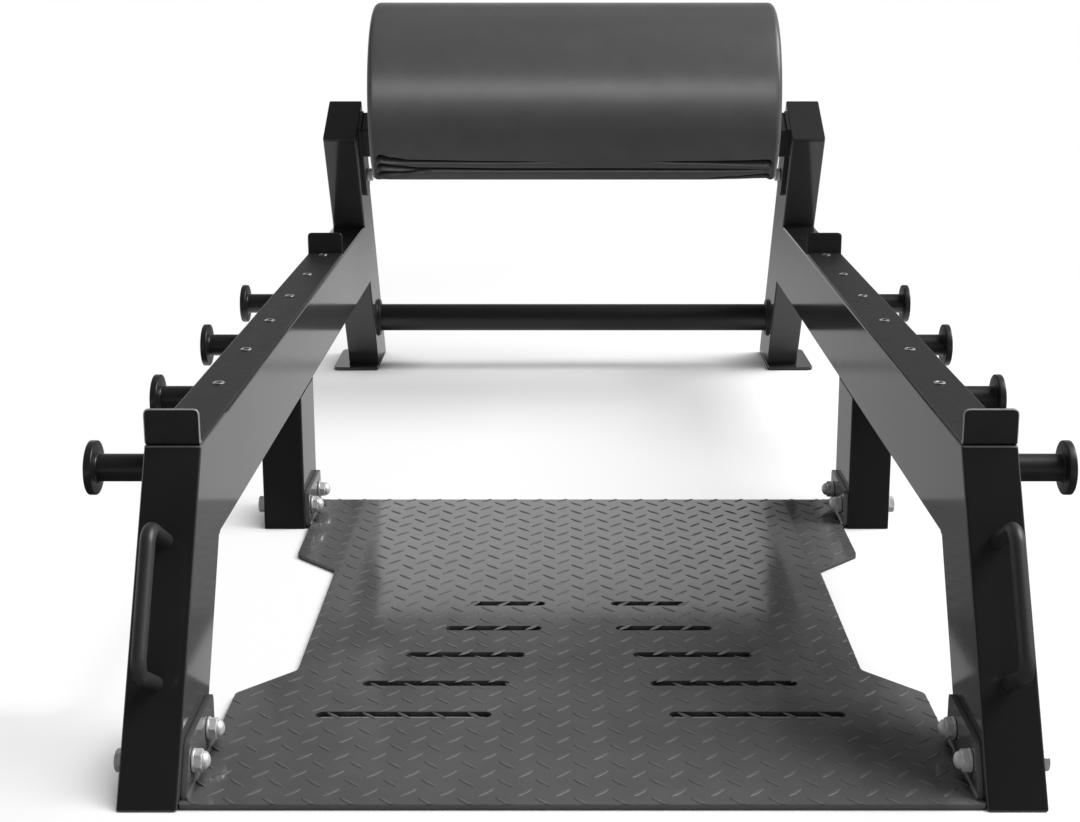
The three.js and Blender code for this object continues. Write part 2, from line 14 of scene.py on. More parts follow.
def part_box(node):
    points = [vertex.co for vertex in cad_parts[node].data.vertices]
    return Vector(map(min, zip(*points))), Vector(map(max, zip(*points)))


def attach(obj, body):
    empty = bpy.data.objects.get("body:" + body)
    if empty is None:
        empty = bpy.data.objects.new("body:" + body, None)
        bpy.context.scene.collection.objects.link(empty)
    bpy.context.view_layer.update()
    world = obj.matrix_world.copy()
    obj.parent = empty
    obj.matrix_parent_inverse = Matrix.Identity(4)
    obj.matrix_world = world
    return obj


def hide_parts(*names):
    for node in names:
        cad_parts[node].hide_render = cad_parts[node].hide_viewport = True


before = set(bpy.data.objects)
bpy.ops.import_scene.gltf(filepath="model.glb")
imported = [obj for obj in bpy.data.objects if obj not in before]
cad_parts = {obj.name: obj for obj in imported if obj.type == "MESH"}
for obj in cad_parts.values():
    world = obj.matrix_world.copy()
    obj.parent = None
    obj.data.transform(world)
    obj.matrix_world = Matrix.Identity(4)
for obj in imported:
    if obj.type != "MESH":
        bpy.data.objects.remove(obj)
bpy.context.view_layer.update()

bl_info = {
    "name": "Hip thrust bench",
    "version": (1, 0, 0),
    "blender": (4, 5, 0),
    "location": "3D View > Sidebar > Bench",
    "description": "Finishes a hip thrust bench: paint, pad, pegs, handles, tread pattern and bolts",
    "category": "Object",
}

MM = 0.001
SIDES = (("left", -1), ("right", 1))
LEAN = math.radians(30)

# Clearance between pieces that touch, the angle from which an edge counts as sharp, and the distance
# within which two points are one.
GAP = 0.3 * MM
SHARP_EDGE = math.radians(50)
SAME_PLACE = 1e-7

# The front legs' front edge on the floor is the datum for places along the bench.
FRONT_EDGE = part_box("front_leg_left")[0].y
TUBE_X = 355 * MM
TUBE_HALF_WIDTH = 25 * MM
HALF_FOOT = 50 * MM / math.cos(LEAN)
RAIL_BOTTOM, RAIL_TOP = (corner.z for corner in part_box("side_rail_left"))
UPRIGHT_FRONT = FRONT_EDGE + 1528.5 * MM
UPRIGHT_LENGTH = 505 * MM

GLOSS_PARTS = ("mid_leg", "side_rail", "upright", "base_plate")
REAR_PARTS = ("upright", "base_plate")
SATIN_PARTS = ("upright_cap", "cross_collar", "pad_end_plate")
GLOSS_NODES = [f"{part}_{side}" for side, _ in SIDES for part in GLOSS_PARTS]
SATIN_NODES = [f"{part}_{side}" for side, _ in SIDES for part in SATIN_PARTS] + ["cross_tube", "pad_beam"]


def along(y):
    """Place along the bench, from millimetres behind the front legs' front edge."""
    return FRONT_EDGE + y * MM


def leg_place(sign):
    """The front leg's own frame: -y out of its front face, z up the face."""
    return Matrix.Translation((sign * TUBE_X, FRONT_EDGE, 0)) @ Matrix.Rotation(-LEAN, 4, "X")


def upright_place():
    """The uprights' own frame, on the middle of the bench: z up the tubes."""
    return Matrix.Translation((0, UPRIGHT_FRONT + HALF_FOOT, 0)) @ Matrix.Rotation(LEAN, 4, "X")


def leg_rear(z):
    """Where the front legs' rear face is at a height."""
    return FRONT_EDGE + 2 * HALF_FOOT + z * math.tan(LEAN)


def upright_front(z):
    """Where the uprights' front face is at a height."""
    return UPRIGHT_FRONT - z * math.tan(LEAN)


# Settings


class FrameSettings(bpy.types.PropertyGroup):
    paint: FloatVectorProperty(
        name="Frame paint", description="Colour of the paint on the tubes, plates, pegs and handles",
        subtype="COLOR", size=3, min=0, max=1, default=(0.0150, 0.0150, 0.0154),
    )
    gloss: FloatProperty(
        name="Paint roughness", description="How much the tubes' gloss paint blurs what it mirrors",
        min=0, max=1, default=0.1,
    )
    satin: FloatProperty(
        name="Satin roughness", description="The same for the satin paint on the round pieces and the caps",
        min=0, max=1, default=0.36,
    )
    liner: FloatVectorProperty(
        name="Liner coat", description="Colour of the matt coat on the bar rails' liners",
        subtype="COLOR", size=3, min=0, max=1, default=(0.014, 0.014, 0.0144),
    )
    edge: FloatProperty(
        name="Tube edge", description="Radius that softens the cut edges of tubes and plates",
        unit="LENGTH", min=0, max=0.003, default=0.0008,
    )


class TreadSettings(bpy.types.PropertyGroup):
    paint: FloatVectorProperty(
        name="Tread paint", description="Colour of the paint on the tread plate",
        subtype="COLOR", size=3, min=0, max=1, default=(0.092, 0.092, 0.093),
    )
    pitch: FloatProperty(
        name="Bar pitch", description="Distance between bars that lie the same way",
        unit="LENGTH", default=0.032,
    )
    length: FloatProperty(
        name="Bar length", description="Length of one raised bar", unit="LENGTH", default=0.021,
    )
    width: FloatProperty(
        name="Bar width", description="Width of one raised bar at its middle", unit="LENGTH", default=0.0045,
    )
    height: FloatProperty(
        name="Bar height", description="How far a bar stands up", unit="LENGTH", default=0.00065,
    )


class PadSettings(bpy.types.PropertyGroup):
    vinyl: FloatVectorProperty(
        name="Vinyl", description="Colour of the pad's cover",
        subtype="COLOR", size=3, min=0, max=1, default=(0.035, 0.035, 0.036),
    )
    slack: FloatProperty(
        name="Slack", description="How much smaller the cover is cut before the filling swells it",
        unit="LENGTH", default=0.0015,
    )
    pressure: FloatProperty(
        name="Filling pressure", description="Push of the filling on the cover", default=4.0,
    )
    crease: FloatProperty(
        name="Crease depth", description="Depth of the folds along the pad's lower front",
        unit="LENGTH", default=0.013,
    )


class FastenerSettings(bpy.types.PropertyGroup):
    zinc: FloatVectorProperty(
        name="Zinc", description="Colour of the plated bolts, nuts and washers",
        subtype="COLOR", size=3, min=0, max=1, default=(0.8, 0.8, 0.81),
    )


class StageSettings(bpy.types.PropertyGroup):
    key: FloatProperty(
        name="Side lamp", description="Power of the big soft lamp on the right", unit="POWER", default=480,
    )
    strip: FloatProperty(
        name="Pad strip", description="Power of the low strip lamp that lights the pad",
        unit="POWER", default=185,
    )
    fill: FloatProperty(
        name="Pad fill", description="Power of the high wide lamp that lights the pad",
        unit="POWER", default=8,
    )
    sky: FloatProperty(
        name="Room light", description="Strength of the even light from all sides", default=0.38,
    )
    # The floor's painted glow: how much of its white glows instead of being lit, which paints out shadow.
    floor: FloatProperty(
        name="Floor glow", description="Share of the floor round the bench that is free of shadow",
        min=0, max=1, default=0.77,
    )


SETTINGS = {
    "bench_frame": FrameSettings,
    "bench_tread": TreadSettings,
    "bench_pad": PadSettings,
    "bench_fasteners": FastenerSettings,
    "bench_stage": StageSettings,
}


# Materials

NEAR_BLACK = (0.012, 0.012, 0.0125)


class Wiring:
    """A node tree, with short ways to add nodes and to join them."""

    def __init__(self, tree):
        self.nodes = tree.nodes
        self.link = tree.links.new

    def add(self, kind, **inputs):
        """A new node with the named inputs set."""
        node = self.nodes.new(kind)
        for socket, value in inputs.items():
            node.inputs[socket.replace("_", " ")].default_value = value
        return node

    def combine(self, operation, first, second=None):
        """The result of a maths operation on one or two numbers."""
        node = self.nodes.new("ShaderNodeMath")
        node.operation = operation
        self.link(first, node.inputs[0])
        if second:
            self.link(second, node.inputs[1])
        return node.outputs[0]

    def split(self, vector):
        """The X, Y and Z of a vector, by name."""
        node = self.nodes.new("ShaderNodeSeparateXYZ")
        self.link(vector, node.inputs[0])
        return node.outputs

    def spread(self, source, low, high, floor=0.3, ceiling=0.7, smooth=False):
        """Runs from low to high as the source goes from floor to ceiling."""
        node = self.add("ShaderNodeMapRange", From_Min=floor, From_Max=ceiling, To_Min=low, To_Max=high)
        if smooth:
            node.interpolation_type = "SMOOTHSTEP"
        self.link(source, node.inputs["Value"])
        return node.outputs["Result"]

    def open_air(self, distance):
        """One in the open, less in slots, corners and nooks of about the distance."""
        node = self.add("ShaderNodeAmbientOcclusion", Distance=distance)
        node.samples = 8
        return node.outputs["AO"]

    def blend(self, factor, first, second):
        """The first shader where the factor is zero, the second where it is one."""
        mix = self.nodes.new("ShaderNodeMixShader")
        self.link(factor, mix.inputs["Fac"])
        self.link(first, mix.inputs[1])
        self.link(second, mix.inputs[2])
        return mix.outputs[0]

    def grey_steps(self, source, stops):
        """A grey level by the source, from (position, level) stops."""
        ramp = self.nodes.new("ShaderNodeValToRGB")
        elements = ramp.color_ramp.elements
        while len(elements) < len(stops):
            elements.new(0.5)
        for element, (position, level) in zip(elements, stops):
            element.position = position
            element.color = (level, level, level, 1)
        self.link(source, ramp.inputs["Fac"])
        return ramp.outputs["Color"]


class Finish(Wiring):
    """A material under construction: a Principled shader and the nodes that feed it."""

    def __init__(self, name, **sockets):
        self.material = bpy.data.materials.new(name)
        self.material.use_nodes = True
        super().__init__(self.material.node_tree)
        self.shader = self.nodes["Principled BSDF"]
        for socket, value in sockets.items():
            self.shader.inputs[socket.replace("_", " ")].default_value = value
        self.place = self.nodes.new("ShaderNodeTexCoord").outputs["Object"]

    def feed(self, source, socket):
        self.link(source, self.shader.inputs[socket])

    def base_colour(self):
        return self.shader.inputs["Base Color"].links[0].from_socket

    def noise(self, scale, detail=3, roughness=0.5, stretch=None):
        node = self.add("ShaderNodeTexNoise", Scale=scale, Detail=detail, Roughness=roughness)
        source = self.place
        if stretch:
            mapping = self.add("ShaderNodeMapping", Scale=stretch)
            self.link(source, mapping.inputs["Vector"])
            source = mapping.outputs["Vector"]
        self.link(source, node.inputs["Vector"])
        return node.outputs["Fac"]

    def cells(self, scale):
        """The distance to the edge of the nearest cell, for a grain."""
        node = self.add("ShaderNodeTexVoronoi", Scale=scale)
        node.feature = "DISTANCE_TO_EDGE"
        self.link(self.place, node.inputs["Vector"])
        return node.outputs["Distance"]

    def tint(self, source, dark, light):
        """The base colour, from dark to light by the source."""
        node = self.nodes.new("ShaderNodeValToRGB")
        for element, position, colour in zip(node.color_ramp.elements, (0.3, 0.7), (dark, light)):
            element.position = position
            element.color = (*colour, 1)
        self.link(source, node.inputs["Fac"])
        self.feed(node.outputs["Color"], "Base Color")

    def mottle(self, colour, source, darker, lighter):
        """The base colour, between a darker and a lighter share of the colour."""
        self.tint(source, shade(colour, darker), shade(colour, lighter))

    def blur(self, source, low, high):
        """The roughness, from low to high by the source."""
        self.feed(self.spread(source, low, high), "Roughness")

    def darken_to_black(self, share):
        """Keeps the base colour where the share is one, and goes to near black where it is zero."""
        mix = self.nodes.new("ShaderNodeMix")
        mix.data_type = "RGBA"
        mix.inputs["A"].default_value = (*NEAR_BLACK, 1)
        self.link(share, mix.inputs["Factor"])
        self.link(self.base_colour(), mix.inputs["B"])
        self.feed(mix.outputs["Result"], "Base Color")

    def nooks(self, distance, low, high, most):
        """Zero deep in slots and corners, rising to the given most in the open."""
        return self.spread(self.open_air(distance), 0, most, low, high)

    def relief(self, *layers):
        """Stacks bumps, each (height, depth, strength)."""
        normal = None
        for height, depth, strength in layers:
            bump = self.add("ShaderNodeBump", Distance=depth, Strength=strength)
            self.link(height, bump.inputs["Height"])
            if normal:
                self.link(normal, bump.inputs["Normal"])
            normal = bump.outputs["Normal"]
        self.feed(normal, "Normal")


def shade(colour, factor):
    return tuple(min(1, channel * factor) for channel in colour)


def frame_finish(name, colour, roughness):
    """Smooth paint with a faint mottle and orange peel."""
    finish = Finish(name)
    finish.mottle(colour, finish.noise(9, detail=4), 0.92, 1.1)
    finish.blur(finish.noise(5, detail=2), roughness * 0.92, roughness * 1.08)
    finish.relief((finish.noise(700, detail=2), 0.02 * MM, 0.3))
    return finish


def frame_paint(name, colour, roughness, side=1):
    """Paint for the frame, with painted light: the faces turned to the left and right are paler by the side
    factor.
    """
    finish = frame_finish(name, colour, roughness)
    # Painted light: the base colour grows up to the side factor on faces turned aside.
    normal = finish.nodes.new("ShaderNodeTexCoord").outputs["Normal"]
    side_light_mask = finish.combine("ABSOLUTE", finish.split(normal)["X"])
    scaled = finish.nodes.new("ShaderNodeVectorMath")
    scaled.operation = "SCALE"
    finish.link(finish.base_colour(), scaled.inputs[0])
    finish.link(finish.spread(side_light_mask, 1, side, floor=0.5, ceiling=0.95), scaled.inputs["Scale"])
    finish.feed(scaled.outputs["Vector"], "Base Color")
    return finish.material


# Where the painted highlight on the front stop's edge ends, in millimetres behind the front legs' front edge.
STOP_HIGHLIGHT_END = (157, 161)


def liner_edge(settings):
    """The liner's cut edge: a painted highlight on the front stop, near black behind it."""
    finish = frame_finish("painted_stop_edge_highlight", shade(settings.liner, 18), settings.satin)
    start, end = (along(y) for y in STOP_HIGHLIGHT_END)
    finish.darken_to_black(finish.spread(finish.split(finish.place)["Y"], 1, 0, floor=start, ceiling=end))
    return finish.material


def liner_coat(settings):
    """The liners' matt coat, slightly grainy."""
    finish = Finish("matt_liner_coat", Specular_IOR_Level=0.2)
    finish.mottle(settings.liner, finish.noise(60, detail=6, roughness=0.7), 0.9, 1.15)
    finish.blur(finish.noise(140, detail=4), 0.52, 0.57)
    finish.relief((finish.noise(1500, detail=3), 0.04 * MM, 0.4))
    return finish.material


def tread_paint(name, settings, roughness, shine=0.5):
    """Paint for the tread, with painted shade: darker and less glossy in the slots and in the corners beside
    the ears.
    """
    finish = Finish(name)
    finish.mottle(settings.paint, finish.noise(14, detail=5, roughness=0.65), 0.9, 1.12)
    # Painted shade: ambient occlusion darkens the colour and the gloss in slots and nooks.
    slot_shade = {"distance": 20 * MM, "low": 0.42, "high": 0.62}
    finish.darken_to_black(finish.nooks(**slot_shade, most=1.0))
    finish.blur(finish.noise(12, detail=3), roughness * 0.85, roughness * 1.15)
    finish.feed(finish.nooks(**slot_shade, most=shine), "Specular IOR Level")
    finish.relief((finish.noise(500, detail=2), 0.01 * MM, 0.25))
    return finish.material


def zinc_plate(settings):
    """Bright zinc plate with a fine grain."""
    finish = Finish("zinc_plate", Metallic=0.65)
    finish.mottle(settings.zinc, finish.noise(160, detail=4), 0.86, 1.1)
    finish.blur(finish.noise(300, detail=4), 0.44, 0.54)
    finish.relief((finish.noise(900, detail=3), 0.03 * MM, 0.4))
    return finish.material


def pad_vinyl(settings):
    """The pad's vinyl: a leather grain, with painted shade darkening the folds and their gloss."""
    finish = Finish("pad_vinyl")
    finish.mottle(settings.vinyl, finish.noise(30, detail=6, roughness=0.6), 0.9, 1.1)
    # Painted shade: ambient occlusion darkens the colour and the gloss in the folds.
    fold = {"distance": 16 * MM, "low": 0.5, "high": 0.85}
    finish.darken_to_black(finish.nooks(**fold, most=1.0))
    finish.feed(finish.nooks(**fold, most=0.35), "Specular IOR Level")
    finish.blur(finish.noise(200, detail=4), 0.34, 0.4)
    finish.relief((finish.cells(900), 0.12 * MM, 0.5), (finish.noise(2200, detail=2), 0.05 * MM, 0.5))
    return finish.material


def foot_plastic():
    """The foot plugs' black plastic."""
    finish = Finish("foot_plug_plastic")
    finish.tint(finish.noise(120, detail=4), NEAR_BLACK, (0.02, 0.02, 0.021))
    finish.blur(finish.noise(500, detail=3), 0.5, 0.7)
    finish.relief((finish.noise(1400, detail=3), 0.1 * MM, 0.5))
    return finish.material


def core_plywood():
    """The pad's core board, with its grain along x."""
    finish = Finish("core_plywood")
    grain = (0.25, 6, 6)
    streaks = finish.noise(18, detail=8, roughness=0.65, stretch=grain)
    finish.tint(streaks, (0.24, 0.15, 0.08), (0.46, 0.32, 0.18))
    finish.blur(finish.noise(90), 0.6, 0.8)
    finish.relief((finish.noise(60, detail=6, stretch=grain), 0.3 * MM, 0.4))
    return finish.material


def bare_steel():
    """The liner screws' steel, with painted shade darkening the sockets."""
    finish = Finish("screw_steel", Metallic=1.0)
    finish.tint(finish.noise(200, detail=4), (0.5, 0.5, 0.51), (0.7, 0.7, 0.71))
    # Painted shade in the sockets.
    finish.darken_to_black(finish.nooks(distance=5 * MM, low=0.45, high=0.75, most=1.0))
    finish.blur(finish.noise(400), 0.34, 0.46)
    finish.relief((finish.noise(1200), 0.03 * MM, 0.4))
    return finish.material


# Meshes


def make_piece(name, mesh_parts, material, place=None, sharp=40, replaces=()):
    """One object from (points, faces) parts, smooth up to the sharp angle."""
    points, faces = [], []
    for part_points, part_faces in mesh_parts:
        start = len(points)
        points.extend(tuple(point) for point in part_points)
        faces.extend(tuple(start + corner for corner in face) for face in part_faces)
    mesh = bpy.data.meshes.new(name)
    mesh.from_pydata(points, [], faces)
    if place:
        mesh.transform(place)
    tidy_mesh(mesh, sharp)
    mesh.materials.append(material)
    piece = bpy.data.objects.new(name, mesh)
    bpy.context.scene.collection.objects.link(piece)
    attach(piece, "root")
    if replaces:
        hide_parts(*replaces)
    return piece


def tidy_mesh(mesh, sharp):
    """Merges the mesh's double points, turns its faces outwards and smooths it up to the sharp angle."""
    bm = bmesh.new()
    bm.from_mesh(mesh)
    bmesh.ops.remove_doubles(bm, verts=bm.verts, dist=SAME_PLACE)
    bmesh.ops.recalc_face_normals(bm, faces=bm.faces)
    bm.to_mesh(mesh)
    bm.free()
    mesh.shade_smooth()
    mesh.set_sharp_from_angle(angle=math.radians(sharp))
    mesh.update()


def ring_faces(first, second, count):
    """Quads between two rings of points that start at the given numbers."""
    return [
        (first + i, first + (i + 1) % count, second + (i + 1) % count, second + i) for i in range(count)
    ]


def skin(rings, closed=False):
    """A skin over rings of equal count, with flat ends unless the rings close on themselves."""
    count = len(rings[0])
    points = [point for ring in rings for point in ring]
    faces = []
    for i in range(len(rings) - (0 if closed else 1)):
        faces += ring_faces(i * count, ((i + 1) % len(rings)) * count, count)
    if not closed:
        faces.append(tuple(range(count)))
        faces.append(tuple(reversed(range(len(points) - count, len(points)))))
    return points, faces


def round_angles(count):
    """Equal turns round a circle."""
    return [2 * math.pi * i / count for i in range(count)]


def ring_points(angles, radii, heights):
    """Points round the z axis, each with its angle, radius and height."""
    return [(r * math.cos(a), r * math.sin(a), h) for a, r, h in zip(angles, radii, heights)]


def level_ring(angles, radius, height):
    """A circle of points round the z axis."""
    count = len(angles)
    return ring_points(angles, [radius] * count, [height] * count)


def hexagon_reach(apothem, angles):
    """How far a hexagon's outline is from its middle at each angle."""
    return [apothem / math.cos((angle + math.pi / 6) % (math.pi / 3) - math.pi / 6) for angle in angles]


def turned(profile, segments, closed=False):
    """A turned part round the z axis from (radius, height) points, with ends or closed to a ring."""
    angles = round_angles(segments)
    return skin([level_ring(angles, radius, height) for radius, height in profile], closed)


def softened(profile, radius, steps=3):
    """The profile with each inner corner rounded by the radius."""
    made = [profile[0]]
    for before, corner, after in zip(profile, profile[1:], profile[2:]):
        here, back, ahead = Vector(corner), Vector(before), Vector(after)
        reach = min(radius, (back - here).length * 0.45, (ahead - here).length * 0.45)
        start = here + (back - here).normalized() * reach
        end = here + (ahead - here).normalized() * reach
        for i in range(steps + 1):
            t = i / steps
            made.append(tuple(start * (1 - t) ** 2 + here * 2 * t * (1 - t) + end * t * t))
    made.append(profile[-1])
    return made


def rod_along(path, radius, sides):
    """A round rod along a path that lies in a plane across x."""
    across = Vector((1, 0, 0))
    angles = round_angles(sides)
    rings = []
    for i, point in enumerate(path):
        ahead = path[min(i + 1, len(path) - 1)] - path[max(i - 1, 0)]
        out = ahead.normalized().cross(across)
        rings.append([point + radius * (math.cos(a) * across + math.sin(a) * out) for a in angles])
    return skin(rings)


# Frame

# Radius of the soft edges where the cut shows another paint, a painted highlight.
LEG_EDGE = 1.3 * MM
LINER_EDGE = 1.1 * MM


def edge_softener():
    """Geometry nodes that join the solid's faces and shade them smooth up to the sharp edges."""
    group = bpy.data.node_groups.new("join_and_smooth", "GeometryNodeTree")
    group.interface.new_socket("Geometry", in_out="INPUT", socket_type="NodeSocketGeometry")
    group.interface.new_socket("Geometry", in_out="OUTPUT", socket_type="NodeSocketGeometry")
    nodes, link = group.nodes, group.links.new
    source = nodes.new("NodeGroupInput")
    bare = nodes.new("GeometryNodeRemoveAttribute")
    bare.inputs["Name"].default_value = "custom_normal"
    merge = nodes.new("GeometryNodeMergeByDistance")
    merge.inputs["Distance"].default_value = 1e-5
    faces = nodes.new("GeometryNodeSetShadeSmooth")
    faces.domain = "FACE"
    edges = nodes.new("GeometryNodeSetShadeSmooth")
    edges.domain = "EDGE"
    edges.inputs["Shade Smooth"].default_value = False
    angle = nodes.new("GeometryNodeInputMeshEdgeAngle")
    compare = nodes.new("FunctionNodeCompare")
    compare.operation = "GREATER_THAN"
    compare.inputs[1].default_value = SHARP_EDGE
    target = nodes.new("NodeGroupOutput")
    link(source.outputs[0], bare.inputs["Geometry"])
    link(bare.outputs["Geometry"], merge.inputs["Geometry"])
    link(merge.outputs["Geometry"], faces.inputs["Geometry"])
    link(faces.outputs["Geometry"], edges.inputs["Geometry"])
    link(angle.outputs["Unsigned Angle"], compare.inputs[0])
    link(compare.outputs["Result"], edges.inputs["Selection"])
    link(edges.outputs["Geometry"], target.inputs[0])
    return group


def dress_node(name, material, joiner, edge, highlight_material=None):
    """Paints a piece of the frame and softens its edges; with an edge material, the softened edges carry a
    painted highlight.
    """
    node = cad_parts[name]
    node.data.materials[0] = material
    if highlight_material:
        node.data.materials.append(highlight_material)
    node.modifiers.new("join", "NODES").node_group = joiner
    if edge:
        flat = node.modifiers.new("flat_faces", "DECIMATE")
        flat.decimate_type = "DISSOLVE"
        flat.angle_limit = math.radians(0.5)
        bevel = node.modifiers.new("edges", "BEVEL")
        bevel.width = edge
        bevel.segments = 2
        bevel.material = 1 if highlight_material else -1
        bevel.limit_method = "ANGLE"
        bevel.angle_limit = SHARP_EDGE
        bevel.use_clamp_overlap = not highlight_material
    weighted = node.modifiers.new("flats", "WEIGHTED_NORMAL")
    weighted.keep_sharp = True
    weighted.weight = 80


class BENCH_OT_paint_frame(bpy.types.Operator):
    """Paint the tube frame, coat the liners and soften their cut edges, with painted light on faces turned
    aside and on the uprights, and painted highlights on some edges
    """

    bl_idname = "bench.paint_frame"
    bl_label = "Paint frame"

    def execute(self, context):
        settings = context.scene.bench_frame
        joiner = edge_softener()
        # The gloss paint's faces turned aside are up to 3.2 times paler: painted light.
        gloss = frame_paint("gloss_frame_paint", settings.paint, settings.gloss, side=3.2)
        satin = frame_paint("satin_frame_paint", settings.paint, settings.satin)
        # Painted highlight: the front legs' softened edges in paint six times paler.
        leg_highlight = frame_paint("painted_leg_edge_highlight", shade(settings.paint, 6), settings.satin)
        # Painted highlight on the liners' cut edge at the front stop.
        stop_highlight = liner_edge(settings)
        # Uprights and base plates: the same paint twice as pale, side faces up to 1.6 times paler again:
        # painted light.
        rear = frame_paint("painted_lighter_rear_paint", shade(settings.paint, 2.0), settings.gloss, side=1.6)
        coat, plastic, plywood = liner_coat(settings), foot_plastic(), core_plywood()
        for name in GLOSS_NODES:
            dress_node(name, rear if name.startswith(REAR_PARTS) else gloss, joiner, settings.edge)
        for name in SATIN_NODES:
            dress_node(name, satin, joiner, settings.edge)
        for side, _ in SIDES:
            dress_node(f"front_leg_{side}", gloss, joiner, LEG_EDGE, leg_highlight)
            dress_node(f"rail_liner_{side}", coat, joiner, LINER_EDGE, stop_highlight)
            for leg in ("front", "mid"):
                dress_node(f"{leg}_foot_plug_{side}", plastic, joiner, 0)
        dress_node("pad_core_board", plywood, joiner, settings.edge)
        return {"FINISHED"}


# Welds

# A bead's half width, the length of one ripple and the distance between its sections.
RING_BEAD, RUN_BEAD = 1.6 * MM, 1.1 * MM
RIPPLE, WELD_STEP = 3.2 * MM, 0.9 * MM

# The beads round the collars and the cross tube: their radii, and how far in the second one is.
COLLAR_RADIUS, CROSS_TUBE_RADIUS = 30.2 * MM, 22.6 * MM
COLLAR_FACE = 4.3 * MM

# A ground seam's section, (along the joint's normal in the face, out of the face) in millimetres.
SEAM_SECTION = ((3.6, -0.02), (2.6, 0.03), (-0.4, 0.03), (-1.4, -0.02), (-1.4, -0.8), (3.6, -0.8))


def bead_section(middle, size, first, second):
    """Eight points round a bead's middle, in the plane of the two directions."""
    angles = round_angles(8)
    return [middle + size * (math.cos(a) * first + math.sin(a) * second) for a in angles]


def weld_ring(centre, radius):
    """A rippled weld bead round a circle across x."""
    across, up = Vector((0, 1, 0)), Vector((0, 0, 1))
    axis = across.cross(up)
    steps = max(48, int(2 * math.pi * radius / WELD_STEP))
    ripples = max(12, int(2 * math.pi * radius / RIPPLE))
    rings = []
    for angle in round_angles(steps):
        radial = math.cos(angle) * across + math.sin(angle) * up
        size = RING_BEAD * (1 + 0.1 * math.sin(angle * ripples) + 0.05 * math.sin(3 * angle + 1))
        rings.append(bead_section(centre + radial * radius, size, radial, axis))
    return skin(rings, closed=True)


def weld_run(start, end):
    """A straight rippled weld bead, tapered at both ends."""
    run = end - start
    steps = max(8, int(run.length / WELD_STEP))
    side = run.normalized().orthogonal().normalized()
    other = run.normalized().cross(side)
    rings = []
    for i in range(steps + 1):
        t = i / steps
        taper = min(1, 0.25 + min(t, 1 - t) * run.length / (3 * MM))
        size = RUN_BEAD * taper * (1 + 0.1 * math.sin(t * run.length / RIPPLE * 2 * math.pi))
        rings.append(bead_section(start + run * t, size, side, other))
    return skin(rings)


def weld_across(inner, outer, y, z):
    """A weld run across a tube's face."""
    return weld_run(Vector((inner, y, z)), Vector((outer, y, z)))


def ground_seam(start, end, outward, tube_side):
    """A weld ground flush: a strip in the face along a joint, wide on the side of the round tube edge."""
    return skin([
        [centre + (across * tube_side + depth * outward) * MM for across, depth in SEAM_SECTION]
        for centre in (start, end)
    ])


class BENCH_OT_make_welds(bpy.types.Operator):
    """Lay the weld beads at the feet, the middle legs, the rails and the cross tube"""

    bl_idname = "bench.make_welds"
    bl_label = "Make welds"

    def execute(self, context):
        paint = bpy.data.materials["satin_frame_paint"]
        tube_low, tube_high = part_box("cross_tube")
        tube_centre = (tube_low + tube_high) / 2
        for side, sign in SIDES:
            inner = sign * (TUBE_X - TUBE_HALF_WIDTH)
            outer = sign * (TUBE_X + TUBE_HALF_WIDTH)
            collar = inner - sign * COLLAR_FACE
            foot_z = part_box(f"base_plate_{side}")[1].z
            foot_front = upright_front(foot_z)
            foot_rear = UPRIGHT_FRONT + 2 * HALF_FOOT - foot_z * math.tan(LEAN)
            leg_low, leg_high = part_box(f"mid_leg_{side}")
            beads = [
                weld_ring(Vector((inner, tube_centre.y, tube_centre.z)), COLLAR_RADIUS),
                weld_ring(Vector((collar, tube_centre.y, tube_centre.z)), CROSS_TUBE_RADIUS),
                weld_across(inner, outer, foot_front, foot_z),
                weld_run(Vector((outer, foot_front, foot_z)), Vector((outer, foot_rear, foot_z))),
                weld_across(inner, outer, leg_low.y, RAIL_BOTTOM),
                weld_across(inner, outer, leg_high.y, RAIL_BOTTOM),
                weld_across(inner, outer, leg_rear(RAIL_BOTTOM), RAIL_BOTTOM),
                weld_across(inner, outer, upright_front(RAIL_BOTTOM), RAIL_BOTTOM),
                weld_across(inner, outer, upright_front(RAIL_TOP), RAIL_TOP),
            ]
            make_piece(f"weld_beads_{side}", beads, paint, sharp=70)
        return {"FINISHED"}


class BENCH_OT_grind_seams(bpy.types.Operator):
    """Fill and grind flush the joints of the rails with the front legs and the uprights"""

    bl_idname = "bench.grind_seams"
    bl_label = "Grind seams"

    def execute(self, context):
        paint = bpy.data.materials["gloss_frame_paint"]
        low, high = RAIL_BOTTOM + 0.2 * MM, RAIL_TOP - 0.9 * MM
        for side, sign in SIDES:
            seams = []
            for face in (-1, 1):
                x = sign * TUBE_X + face * TUBE_HALF_WIDTH
                outward = Vector((face, 0, 0))
                for joint, lean in ((leg_rear, 1), (upright_front, -1)):
                    ends = [Vector((x, joint(z), z)) for z in (low, high)]
                    tube_side = Vector((0, -lean * math.cos(LEAN), math.sin(LEAN)))
                    seams.append(ground_seam(*ends, outward, tube_side))
            make_piece(f"ground_seams_{side}", seams, paint, sharp=40)
        return {"FINISHED"}


# Liners' screws

# Places along the bench, in millimetres behind the front legs' front edge.
SCREW_PLACES = (361, 507.5, 655, 800.5, 947.5, 1098)
LINER_THICKNESS = 3 * MM

# How far the screws are outside the rail's middle line, and each one's turn from the one before.
SCREW_ASIDE, SCREW_SPIN = 1.5 * MM, 0.7

# The head's circles as (radius, height) and its socket's hexagons as (half width, height), in millimetres.
SCREW_HEAD = ((6.0, 0), (6.0, 0.5), (5.8, 0.9), (5.3, 1.15), (4.6, 1.25))
SCREW_SOCKET = ((3.3, 1.25), (3.1, 1.1), (3.1, 0.1))


